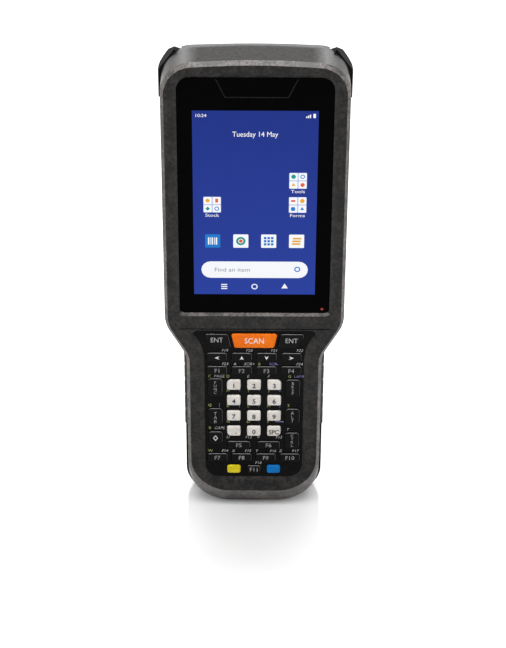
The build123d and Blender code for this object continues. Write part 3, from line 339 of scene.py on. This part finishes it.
# Colours of the display: its ground, which is deeper at the top, and the plain motifs on it
picture_blue = lit("display_blue", "#263E9C", "#1C3186")
picture_white = lit("display_white", "#F4F6FA", "#FFFFFF")
picture_pale = lit("display_pale", "#AEBBE4", "#C4CEEE")
picture_sky = lit("display_sky", "#1B72C4", "#2A86D6")
picture_grey = lit("display_grey", "#7C8494", "#8A92A2")
picture_teal = lit("display_teal", "#12907E", "#1FA692")
picture_coral = lit("display_coral", "#D8543C", "#E86A50")
picture_gold = lit("display_gold", "#E0A020", "#F0B83C")


# --- Pieces from the frame ----------------------------------------------------------


# Metres under which corners of a node's loose triangles are one
TOGETHER = 2e-8
# Degrees above which an edge stays sharp
CREASE = 32.0


def dress(nodes, material):
    """Gives nodes of the frame their material, as they are."""
    for name in nodes:
        frame["nodes"][name].material_slots[0].material = material


def skin(name, *materials, look=None):
    """A smooth copy of a node that stands for it. look() tells which material a face has."""
    node = frame["nodes"][name]
    form = bmesh.new()
    form.from_mesh(node.data)
    bmesh.ops.remove_doubles(form, verts=form.verts, dist=TOGETHER)
    for face in form.faces:
        face.smooth = True
        face.material_index = look(face) if look else 0
    mesh = bpy.data.meshes.new(name + "_skin")
    form.to_mesh(mesh)
    form.free()
    if "custom_normal" in mesh.attributes:
        mesh.attributes.remove(mesh.attributes["custom_normal"])
    mesh.set_sharp_from_angle(angle=math.radians(CREASE))
    for material in materials:
        mesh.materials.append(material)
    piece = bpy.data.objects.new(name + "_skin", mesh)
    bpy.context.scene.collection.objects.link(piece)
    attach(piece, node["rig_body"])
    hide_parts(name)
    return piece


def trim(piece, place, normal):
    """Cuts off what of a piece lies beyond a plane, on the side of a place, and closes the cut."""
    form = bmesh.new()
    form.from_mesh(piece.data)
    faces = [face for face in form.faces if face.verts[0].co.x * place[0] >= 0]
    edges = {edge for face in faces for edge in face.edges}
    parts = faces + list(edges) + list({corner for edge in edges for corner in edge.verts})
    cut = bmesh.ops.bisect_plane(
        form, geom=parts, plane_co=Vector(place) * MM, plane_no=normal, clear_outer=True
    )["geom_cut"]
    rim = [part for part in cut if isinstance(part, bmesh.types.BMEdge)]
    bmesh.ops.triangle_fill(form, edges=rim)
    form.to_mesh(piece.data)
    form.free()


# The recess round the keys, as seen from the front: narrow up to its shoulder, wider above
RECESS_FOOT, RECESS_SHOULDER, RECESS_TOP = 14.5, 85.0, 96.6
RECESS_HALF, RECESS_HALF_ABOVE = 24.2, 30.0
# The opening round the glass
OPENING_HALF, OPENING_FOOT, OPENING_TOP = 33.6, 103.5, 215.0
# Between which depths behind the front the recess floor lies, and how deep the facets reach
FLOOR_DEPTHS = (0.9, 2.7)
FACET_DEPTH = 5.9


def front_look(face):
    """Material of a face of the front housing: the shell's, the recess floor's or the facets' painted
    highlight.
    """
    x, y, z = face.calc_center_median() / MM
    across, depth = abs(x), y - FRONT
    half = RECESS_HALF if z < RECESS_SHOULDER else RECESS_HALF_ABOVE
    round_keys = across < half and RECESS_FOOT < z < RECESS_TOP
    round_glass = across < OPENING_HALF and OPENING_FOOT < z < OPENING_TOP
    if round_keys and FLOOR_DEPTHS[0] < depth < FLOOR_DEPTHS[1]:
        return 1
    # Slanted faces round the front take the lighter material, a painted highlight.
    slanted = -0.95 < face.normal.y < -0.3 and depth < FACET_DEPTH
    return 2 if slanted and not round_keys and not round_glass else 0


def rim_look(face):
    """Material of a face of a black cap: the painted highlight on the rounded rim at its top and right."""
    normal = face.normal
    return int(-0.9 < normal.y < -0.2 and (normal.z > 0.4 or normal.x > 0.5))


KEYS = [name for name in frame["nodes"] if name.startswith("key_") and name != "key_board"]
IVORY_KEYS = [f"key_{digit}" for digit in range(10)] + ["key_point", "key_space"]
PIGMENTS = {"key_scan": cap_orange, "key_yellow": cap_amber, "key_blue": cap_cyan}
PIGMENTS |= {name: cap_ivory for name in IVORY_KEYS}

# Planes that trim the upper bumpers to the corners of the head: a place and a normal, for the
# one at the right
BUMPER_CUTS = (
    ((33.4, -1.5, 219.3), (0, 0.515, 0.857)),
    ((33.4, 0, 219.4), (-0.79, 0, 0.61)),
    ((33.2, 0, 219.5), (0.8, 0, 0.6)),
)

skin("front_housing", shell_texture, keypad_gloss, facet_painted_highlight, look=front_look)
skin("back_housing", shell_texture)
skin("battery_door", shell_texture)
bumpers = skin("corner_bumpers", bumper_rubber)
for side in (-1, 1):
    for (x, y, z), (across, back, up) in BUMPER_CUTS:
        trim(bumpers, (side * x, y, z), (side * across, back, up))
for name in ("grip_pads", "trigger_left", "trigger_right", "power_button"):
    skin(name, pad_rubber)
skin("battery_latch", latch_acetal)
skin("battery_pack", battery_abs)
for key in KEYS:
    if key in PIGMENTS:
        skin(key, PIGMENTS[key])
    else:
        skin(key, cap_black, cap_rim_painted_highlight, look=rim_look)
dress(["touch_glass"], cover_glass)
dress(["display_module", "scan_engine", "camera_module", "loudspeaker"], module_nylon)
dress(["keypad_mat", "housing_gasket"], mat_silicone)
dress(["key_board", "main_board"], board_epoxy)
dress(["housing_screws"], screw_steel)
dress(["charging_contacts"], contact_gold)
dress(["scan_window"], window_acrylic)


# --- Printed and lit layers ---------------------------------------------------------
# A layer starts as flat shapes, drawn in millimetres as seen from the front, and is then
# given its thickness and stood up at its depth.

# Thickness of a print, and of one colour of the picture
INK = 0.02
GLOW = 0.02
# Height of a capital letter as a share of the lettering's size
CAP_SHARE = 0.685


def card(form, x, z, width, height, corner=0.0):
    """A rectangle, with its corners rounded."""
    place = Matrix.Translation((x, z, 0)) @ Matrix.Diagonal((width, height, 1, 1))
    made = bmesh.ops.create_grid(form, x_segments=1, y_segments=1, size=0.5, matrix=place)
    if corner:
        bmesh.ops.bevel(
            form,
            geom=made["verts"],
            offset=corner,
            segments=4,
            profile=0.5,
            affect="VERTICES",
            material=-1,
        )


def disc(form, x, z, radius, sides=24, turn=0.0, wide=1.0):
    """A disc, or a polygon of few sides, that may be wider than high."""
    turned = Matrix.Diagonal((wide, 1, 1, 1)) @ Matrix.Rotation(turn, 4, "Z")
    place = Matrix.Translation((x, z, 0)) @ turned
    made = bmesh.ops.create_circle(form, cap_ends=True, radius=radius, segments=sides, matrix=place)
    return made["verts"][0].link_faces[0]


def ring(form, x, z, radius, width, sides=24, turn=0.0, wide=1.0):
    """A ring, or the outline of a polygon."""
    hollow(form, disc(form, x, z, radius, sides, turn, wide), width)


def hollow(form, face, width):
    """Leaves only a band of a width along a face's edge."""
    bmesh.ops.inset_individual(form, faces=[face], thickness=width, use_even_offset=True)
    bmesh.ops.delete(form, geom=[face], context="FACES_ONLY")


def polygon(form, x, z, points):
    """A shape of a few corners around a place."""
    face = form.faces.new([form.verts.new((x + across, z + up, 0)) for across, up in points])
    face.normal_update()
    return face


def word(form, x, z, text, height, width=None, slant=0.0, bold=0.0):
    """Capital-high lettering centred on a place, pressed to a width if one is given."""
    curve = bpy.data.curves.new("lettering", "FONT")
    curve.body, curve.size, curve.resolution_u = text, height / CAP_SHARE, 3
    curve.shear, curve.offset = slant, bold
    letters = bpy.data.objects.new("lettering", curve)
    mesh = bpy.data.meshes.new_from_object(letters)
    spots = [v.co for v in mesh.vertices]
    low, high = min(s.x for s in spots), max(s.x for s in spots)
    foot, top = min(s.y for s in spots), max(s.y for s in spots)
    squeeze = width / (high - low) if width else 1.0
    middle = Matrix.Translation((-(low + high) / 2, -(foot + top) / 2, 0))
    mesh.transform(Matrix.Translation((x, z, 0)) @ Matrix.Diagonal((squeeze, 1, 1, 1)) @ middle)
    form.from_mesh(mesh)
    bpy.data.objects.remove(letters)
    bpy.data.curves.remove(curve)
    bpy.data.meshes.remove(mesh)


def column(form, x, z, text, height, pitch, width=None):
    """Upright letters, one under another, centred on a place."""
    for index, letter in enumerate(text):
        word(form, x, z + ((len(text) - 1) / 2 - index) * pitch, letter, height, width)


def layer(name, body, material, depth, shapes, thickness=INK, turn=0.0):
    """One printed or lit piece, of several shapes: (shape, its place and sizes).

    With half a turn it is drawn as seen from behind, and faces the back."""
    form = bmesh.new()
    for shape, *sizes in shapes:
        shape(form, *sizes)
    raised = bmesh.ops.extrude_face_region(form, geom=form.faces[:])["geom"]
    corners = [part for part in raised if isinstance(part, bmesh.types.BMVert)]
    bmesh.ops.translate(form, verts=corners, vec=(0, 0, thickness))
    bmesh.ops.recalc_face_normals(form, faces=form.faces)
    stand = Matrix.Rotation(turn, 4, "Z") @ Matrix.Rotation(math.pi / 2, 4, "X")
    stand = Matrix.Translation((0, depth * MM, 0)) @ stand
    bmesh.ops.transform(form, matrix=stand @ Matrix.Scale(MM, 4), verts=form.verts)
    mesh = bpy.data.meshes.new(name)
    form.to_mesh(mesh)
    form.free()
    mesh.materials.append(material)
    piece = bpy.data.objects.new(name, mesh)
    bpy.context.scene.collection.objects.link(piece)
    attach(piece, body)
    return piece


def middle_of(node):
    """Centre of a node as seen from the front."""
    low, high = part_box(node)
    middle = (low + high) / 2 / MM
    return middle.x, middle.z


def on_key(key, material, slot, *shapes):
    """Print on a key's top. Places are counted from the key's middle."""
    x, z = middle_of(key)
    moved = [(shape, x + across, z + up, *rest) for shape, across, up, *rest in shapes]
    layer(key + "_print", frame["nodes"][key]["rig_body"], material, KEY_TOP, moved)


# Prints on the keys: digits, F keys, words, arrows, columns of letters and a diamond
DIGIT_HEIGHT = 2.2
ARROWHEAD = [(0, 1.0), (-0.85, -1.0), (0, -0.4), (0.85, -1.0)]
# Height and pitch of the letters in a column of three and of four
THREE, FOUR = (1.6, 2.1), (1.35, 1.75)

for digit in range(10):
    figure = (word, 0, -0.3, str(digit), DIGIT_HEIGHT, None, 0.0, 0.09)
    on_key(f"key_{digit}", ink_dark, "key_black", figure)
on_key("key_point", ink_dark, "key_black", (disc, 0.9, -1.1, 0.3, 12))
on_key("key_space", ink_dark, "key_black", (word, 0, -0.4, "SPC", DIGIT_HEIGHT, 4.6, 0.0, 0.07))
for number in range(1, 12):
    on_key(f"key_f{number}", ink_grey, "key_ivory", (word, 0, -0.1, f"F{number}", 2.0))
on_key("key_scan", ink_bright, "key_ivory", (word, 0, 0.2, "SCAN", 2.7, 8.4))
on_key("key_enter_left", ink_pale, "key_ivory", (word, -0.4, 0.6, "ENT", 2.3, 5.3))
on_key("key_enter_right", ink_pale, "key_ivory", (word, 0.4, 0.3, "ENT", 2.3, 5.3))
for quarters, key in enumerate(("key_up", "key_left", "key_down", "key_right")):
    turned = Matrix.Rotation(quarters * math.pi / 2, 2)
    head = [tuple(turned @ Vector(corner)) for corner in ARROWHEAD]
    on_key(key, ink_bright, "key_ivory", (polygon, 0, -0.3, head))
for key, text, up, sizes in (
    ("key_function", "FUNC", 0, FOUR),
    ("key_tab", "TAB", -0.5, THREE),
    ("key_delete", "BKSP", 0, FOUR),
    ("key_alt", "ALT", 0, THREE),
    ("key_control", "CTRL", 0, FOUR),
):
    on_key(key, ink_grey, "key_ivory", (column, 0, up, text, *sizes))
on_key("key_home", ink_white, "key_ivory", (ring, 0, -0.2, 1.6, 0.4, 4, 0.0, 0.72))

# Second meanings of the keys, printed on the recess floor in three inks. Each row is a height
# with the places across it and the words there.
SECOND_HEIGHT = 1.35
LEAN = 0.2
PALE_ROWS = {
    84.1: ((-12.8, "F19"), (-2.1, "F20"), (8.7, "F21"), (20.0, "F22")),
    77.1: ((-12.8, "F23"), (-8.5, "A"), (-2.1, "SCR+"), (20.0, "F24")),
    70.7: ((-15.3, "PAGE"), (-2.5, "E"), (6.5, "F")),
    43.2: ((-15.3, "CAPS"),),
    42.4: ((15.4, "T"),),
    38.3: ((-11.5, "U"), (-2.3, "F12"), (2.2, "V"), (11.3, "F13")),
    30.8: (
        (-13.0, "F14"), (-9.1, "X"), (-2.5, "F15"), (1.6, "Y"),
        (8.7, "F16"), (12.1, "Z"), (18.9, "F17"),
    ),
    24.3: ((2.2, "F18"),),
}
LIME_ROWS = {
    77.1: ((2.3, "B"),),
    70.7: ((-19.6, "C"), (-11.5, "D"), (15.7, "G")),
    63.2: ((-11.5, "H"), (-2.5, "I"), (6.5, "J")),
    55.3: ((-19.6, "Q"), (15.4, "S")),
    55.0: ((-11.5, "K"), (-2.5, "L"), (6.5, "M")),
    46.6: ((-11.5, "N"), (-2.5, "O"), (6.5, "P")),
    43.2: ((-19.6, "R"),),
    30.8: ((-19.6, "W"),),
}
VIOLET_ROWS = {
    77.1: ((8.7, "SCR-"),),
    70.7: ((20.1, "LAMP"),),
    63.2: ((-6.4, "+"), (2.3, "-"), (11.5, "=")),
    55.3: ((-15.3, "["),),
    55.0: ((-6.4, "("), (2.3, "/"), (11.5, ")")),
    46.6: ((-6.4, ":"), (2.3, ";")),
}
for name, material, rows, slant in (
    ("legends_pale", ink_pale, PALE_ROWS, LEAN),
    ("legends_lime", ink_lime, LIME_ROWS, 0.0),
    ("legends_violet", ink_violet, VIOLET_ROWS, 0.0),
):
    shapes = [
        (word, x, z, text, SECOND_HEIGHT, None, slant)
        for z, words in rows.items()
        for x, text in words
    ]
    layer(name, "terminal", material, RECESS_FLOOR, shapes)
dash = [(card, 11.5, 46.6, 3.7, 0.45)]
layer("legend_dash", "terminal", ink_violet, RECESS_FLOOR, dash)

# The display's picture: a blue ground, rows of tiles with plain motifs, and a white bar
TILE = 6.4
DOCK_ROW = 138.6
DOCK_PLACES = (-17.8, -5.9, 5.9, 17.7)
# Groups of four small tiles, with a name under each
GROUPS = ((17.9, 167.2), (17.9, 155.9), (-17.9, 155.9))
GROUP_NAMES = (("Tools", 5.8), ("Forms", 6.2), ("Stock", 5.8))
NAME_DROP = 5.0
SMALL_TILE = 3.3
TILE_REACH = 1.9
BAR_ROW = 124.7
MARK_ROW = 116.4
DATE_ROW = 188.1
STATUS_ROW = 196.8


def picture(name, material, step, shapes):
    """One colour of the display's picture, a step in front of the one it lies on."""
    layer(name, "terminal", material, GLASS_TOP - step * GLOW, shapes, GLOW)


def in_group(group, across, up, shape, *sizes):
    """A shape on one of a group's four tiles, which -1 or 1 across and up tell apart."""
    x, z = GROUPS[group]
    return shape, x + TILE_REACH * across, z + TILE_REACH * up, *sizes


picture(
    "picture_ground", picture_blue, 0, [(card, 0, PICTURE_ROW, PICTURE_WIDTH, PICTURE_HEIGHT)]
)
picture(
    "picture_tiles",
    picture_white,
    1,
    [(card, x, DOCK_ROW, TILE, TILE, 0.4) for x in DOCK_PLACES[1:]]
    + [(card, 0, BAR_ROW, 45.4, 8.0, 3.9)]
    + [
        in_group(group, across, up, card, SMALL_TILE, SMALL_TILE, 0.35)
        for group in range(3)
        for across in (-1, 1)
        for up in (-1, 1)
    ]
    + [
        (word, x, z - NAME_DROP, text, 1.45, width)
        for (x, z), (text, width) in zip(GROUPS, GROUP_NAMES)
    ]
    # Time, date, signal and battery
    + [(word, -22.2, STATUS_ROW, "10:24", 1.35, 4.4)]
    + [(word, 0, DATE_ROW, "Tuesday 14 May", 2.25, 18.8)]
    + [
        (card, 21.0 + 0.75 * step, STATUS_ROW - 0.6 + 0.2 * step, 0.5, 0.7 + 0.4 * step)
        for step in range(3)
    ]
    + [(card, 24.2, STATUS_ROW, 1.0, 1.9, 0.2)]
    # Marks along the foot
    + [(card, -13.0, MARK_ROW + up, 2.6, 0.5) for up in (-1.0, 0, 1.0)]
    + [(ring, 0, MARK_ROW, 1.35, 0.45), (disc, 12.9, MARK_ROW, 1.6, 3)],
)
picture(
    "picture_sky_tile", picture_sky, 1, [(card, DOCK_PLACES[0], DOCK_ROW, TILE, TILE, 0.4)]
)
picture(
    "picture_pale_bands", picture_pale, 0.5, [(card, x, z, 7.4, 7.4, 0.4) for x, z in GROUPS]
)
BARS = ((-1.7, 0.6), (-0.8, 0.3), (-0.1, 0.5), (0.8, 0.3), (1.6, 0.6))
picture(
    "picture_bars",
    picture_white,
    2,
    [(card, DOCK_PLACES[0] + across, DOCK_ROW, width, 3.4) for across, width in BARS],
)
picture(
    "picture_teal_motifs",
    picture_teal,
    2,
    [(ring, DOCK_PLACES[1], DOCK_ROW, 2.0, 0.9)]
    + [in_group(0, -1, 1, disc, 1.0), in_group(2, -1, -1, disc, 1.0, 4)],
)
picture(
    "picture_coral_motifs",
    picture_coral,
    2,
    [(disc, DOCK_PLACES[1], DOCK_ROW, 0.8), in_group(0, 1, -1, disc, 1.0, 6)]
    + [in_group(1, -1, 1, card, 1.8, 0.9), in_group(2, 1, 1, card, 1.2, 1.8)],
)
picture(
    "picture_gold_motifs",
    picture_gold,
    2,
    [in_group(0, -1, -1, disc, 1.0, 3), in_group(1, 1, 1, disc, 1.0)]
    + [in_group(2, -1, 1, disc, 1.0, 5)]
    + [(card, DOCK_PLACES[3] + 0.2 * up, DOCK_ROW + 1.3 * up, 3.6, 0.8) for up in (-1, 0, 1)],
)
picture(
    "picture_blue_motifs",
    picture_sky,
    2,
    [
        (card, DOCK_PLACES[2] + 1.5 * across, DOCK_ROW + 1.5 * up, 1.1, 1.1)
        for across in (-1, 0, 1)
        for up in (-1, 0, 1)
    ]
    + [in_group(0, 1, 1, ring, 1.0, 0.4), in_group(1, -1, -1, card, 1.8, 1.8, 0.4)]
    + [in_group(1, 1, -1, disc, 1.0, 3), in_group(2, 1, -1, ring, 1.0, 0.4)]
    + [(ring, 18.2, BAR_ROW + 0.3, 1.3, 0.5)],
)
picture("picture_grey_words", picture_grey, 2, [(word, -9.5, BAR_ROW, "Find an item", 1.9, 15.0)])

# Thin lines on the glass, and a mark for its lamp
BADGE = [(-16.5, 213.1), (-12.5, 204.7), (13.5, 204.7), (17.6, 213.1)]


def open_frame(form, points, width):
    """The outline of a shape without its top line."""
    face = polygon(form, 0, 0, points)
    hollow(form, face, width)
    top = max(form.faces, key=lambda side: side.calc_center_median().y)
    bmesh.ops.delete(form, geom=[top], context="FACES_ONLY")


badge = [(open_frame, BADGE, 0.4)]
layer("glass_lines", "terminal", ink_line, GLASS_TOP, badge)
lamp_mark = [(disc, 29.2, 105.3, 0.7, 4)]
layer("glass_lamp_mark", "terminal", ink_red, GLASS_TOP, lamp_mark)

# On the back, drawn as seen from behind: the camera's lens and lamp, and the battery's poles
CAMERA_ROW = 176.0
HALF_TURN = math.pi
bezel = [(ring, 0, CAMERA_ROW, 4.3, 1.1, 48)]
layer("camera_ring", "terminal", keypad_gloss, LENS_BED, bezel, 0.3, HALF_TURN)
front_lens = [(disc, 0, CAMERA_ROW, 3.1, 48)]
layer("camera_lens", "terminal", lens_glass, LENS_BED, front_lens, 0.1, HALF_TURN)
iris = [(ring, 0, CAMERA_ROW, 1.5, 0.25, 32)]
lens_face = LENS_BED + 0.1
layer("camera_iris", "terminal", window_acrylic, lens_face, iris, INK, HALF_TURN)
lamp = [(disc, -9.5, CAMERA_ROW, 1.6, 32)]
layer("camera_lamp", "terminal", flash_diffuser, LENS_BED, lamp, 0.15, HALF_TURN)
poles = [(card, -14.0, 94.0, 2.6, 0.6), (card, 14.0, 94.0, 2.6, 0.6), (card, 14.0, 94.0, 0.6, 2.6)]
layer("battery_poles", "terminal", ink_white, BATTERY_BACK, poles, INK, HALF_TURN)


# --- Floor, light and camera --------------------------------------------------------


def seen_directly(tree):
    """1 for rays that show a thing to the camera, also in a mirror or through glass, else 0."""
    rays = add(tree, "LightPath").outputs
    seen = rays["Is Camera Ray"]
    for other in ("Is Glossy Ray", "Is Transmission Ray"):
        seen = add(tree, "Math", {}, {0: seen, 1: rays[other]}, operation="MAXIMUM").outputs[0]
    return seen


# The floor's glow at the foot and far from it, and the metres over which it rises: the low glow
# near the foot paints shade round it. The floor lies a hair below the foot.
GLOW_IN_PAINTED_SHADE, GLOW_FAR, PAINTED_SHADE_REACH = 0.04, 0.6, 0.15
FLOOR_DROP = 0.0002


def white_floor():
    """A wide white floor that keeps the shadow and mirrors the foot faintly.

    It glows only a little near the foot, which paints shade there beside the lamps' real shadow,
    and more so further from the foot, so that the ground beyond is plain white."""
    form = bmesh.new()
    bmesh.ops.create_grid(form, x_segments=1, y_segments=1, size=6.0)
    mesh = bpy.data.meshes.new("floor")
    form.to_mesh(mesh)
    form.free()
    # Acrylic sheet, cast: white, with a polish that mirrors faintly.
    material, tree, shader, places = finish("acrylic_sheet_white", 0.09, Specular_IOR_Level=0.5)
    shader.inputs["Emission Color"].default_value = (1, 1, 1, 1)
    grain = add(tree, "TexNoise", lumps(40.0), {"Vector": places}).outputs["Fac"]
    tone = add(tree, "MapRange", span(*NOISE_SPAN, 0.0, 1.0), {"Value": grain}).outputs[0]
    colour = add(tree, "Mix", hues("#C8C8C8", "#CBCBCB"), {0: tone}, data_type="RGBA").outputs[2]
    foot = (0, FRONT * MM, 0)
    away = add(tree, "VectorMath", {1: foot}, {0: places}, operation="DISTANCE").outputs["Value"]
    # Glow lowest at the foot: painted shade round it.
    rise = span(0.0, PAINTED_SHADE_REACH, GLOW_IN_PAINTED_SHADE, GLOW_FAR)
    glow_with_painted_shade = add(tree, "MapRange", rise, {"Value": away}).outputs[0]
    seen = {0: glow_with_painted_shade, 1: seen_directly(tree)}
    glow_with_painted_shade = add(tree, "Math", {}, seen, operation="MULTIPLY").outputs[0]
    feed(tree, shader, {"Base Color": colour, "Emission Strength": glow_with_painted_shade})
    mesh.materials.append(material)
    floor = bpy.data.objects.new("floor", mesh)
    floor.location.z = -FLOOR_DROP
    bpy.context.scene.collection.objects.link(floor)
    floor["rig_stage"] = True


def softbox(name, place, size, power, aim=(0, 0, 0.12)):
    """A wide soft lamp that looks at the terminal. Its place and size are in metres."""
    lamp = bpy.data.lights.new(name, "AREA")
    lamp.shape, lamp.size, lamp.size_y, lamp.energy = "RECTANGLE", *size, power
    holder = bpy.data.objects.new(name, lamp)
    holder.location = place
    holder.rotation_euler = (Vector(aim) - Vector(place)).to_track_quat("-Z", "Y").to_euler()
    bpy.context.scene.collection.objects.link(holder)


white_floor()
softbox("softbox_behind", (0.0, 0.85, 0.75), (1.4, 0.6), 12.0)
softbox("softbox_above", (0.0, -0.4, 1.05), (1.0, 0.4), 12.0)
softbox("softbox_left", (-0.9, 0.1, 0.35), (0.5, 0.9), 3.0)
softbox("softbox_right", (0.9, 0.1, 0.35), (0.5, 0.9), 3.0)

studio = bpy.data.worlds.new("studio")
studio.use_nodes = True
tree = studio.node_tree
tree.nodes.clear()
# The world lights the terminal softly, and is plain white where it is seen
levels = span(0.0, 1.0, 0.35, 1.0)
strength = add(tree, "MapRange", levels, {"Value": seen_directly(tree)}).outputs[0]
sky = add(tree, "Background", {"Color": (1, 1, 1, 1)}, {"Strength": strength})
add(tree, "OutputWorld", links={"Surface": sky.outputs["Background"]})
bpy.context.scene.world = studio
bpy.context.scene.view_settings.view_transform = "Standard"

# The camera looks down on the terminal through a long lens. Its place is in metres, the rest of
# its numbers are degrees and millimetres.
CAMERA_PLACE = (-0.000585, -0.7446, 0.5332)
LOOK_DOWN, ROLL = 31.0127, 0.25
lens = bpy.data.cameras.new("camera")
lens.lens, lens.sensor_width, lens.sensor_fit = 108.18, 36.0, "AUTO"
lens.clip_start, lens.clip_end = 0.01, 50.0
camera = bpy.data.objects.new("camera", lens)
tilt = Matrix.Rotation(math.radians(90 - LOOK_DOWN), 4, "X")
turned = tilt @ Matrix.Rotation(math.radians(ROLL), 4, "Z")
camera.matrix_world = Matrix.Translation(CAMERA_PLACE) @ turned
bpy.context.scene.collection.objects.link(camera)
bpy.context.scene.camera = camera

sizes = {"cad": [list(corner) for corner in cad_box], "visual": [list(corner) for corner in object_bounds()]}
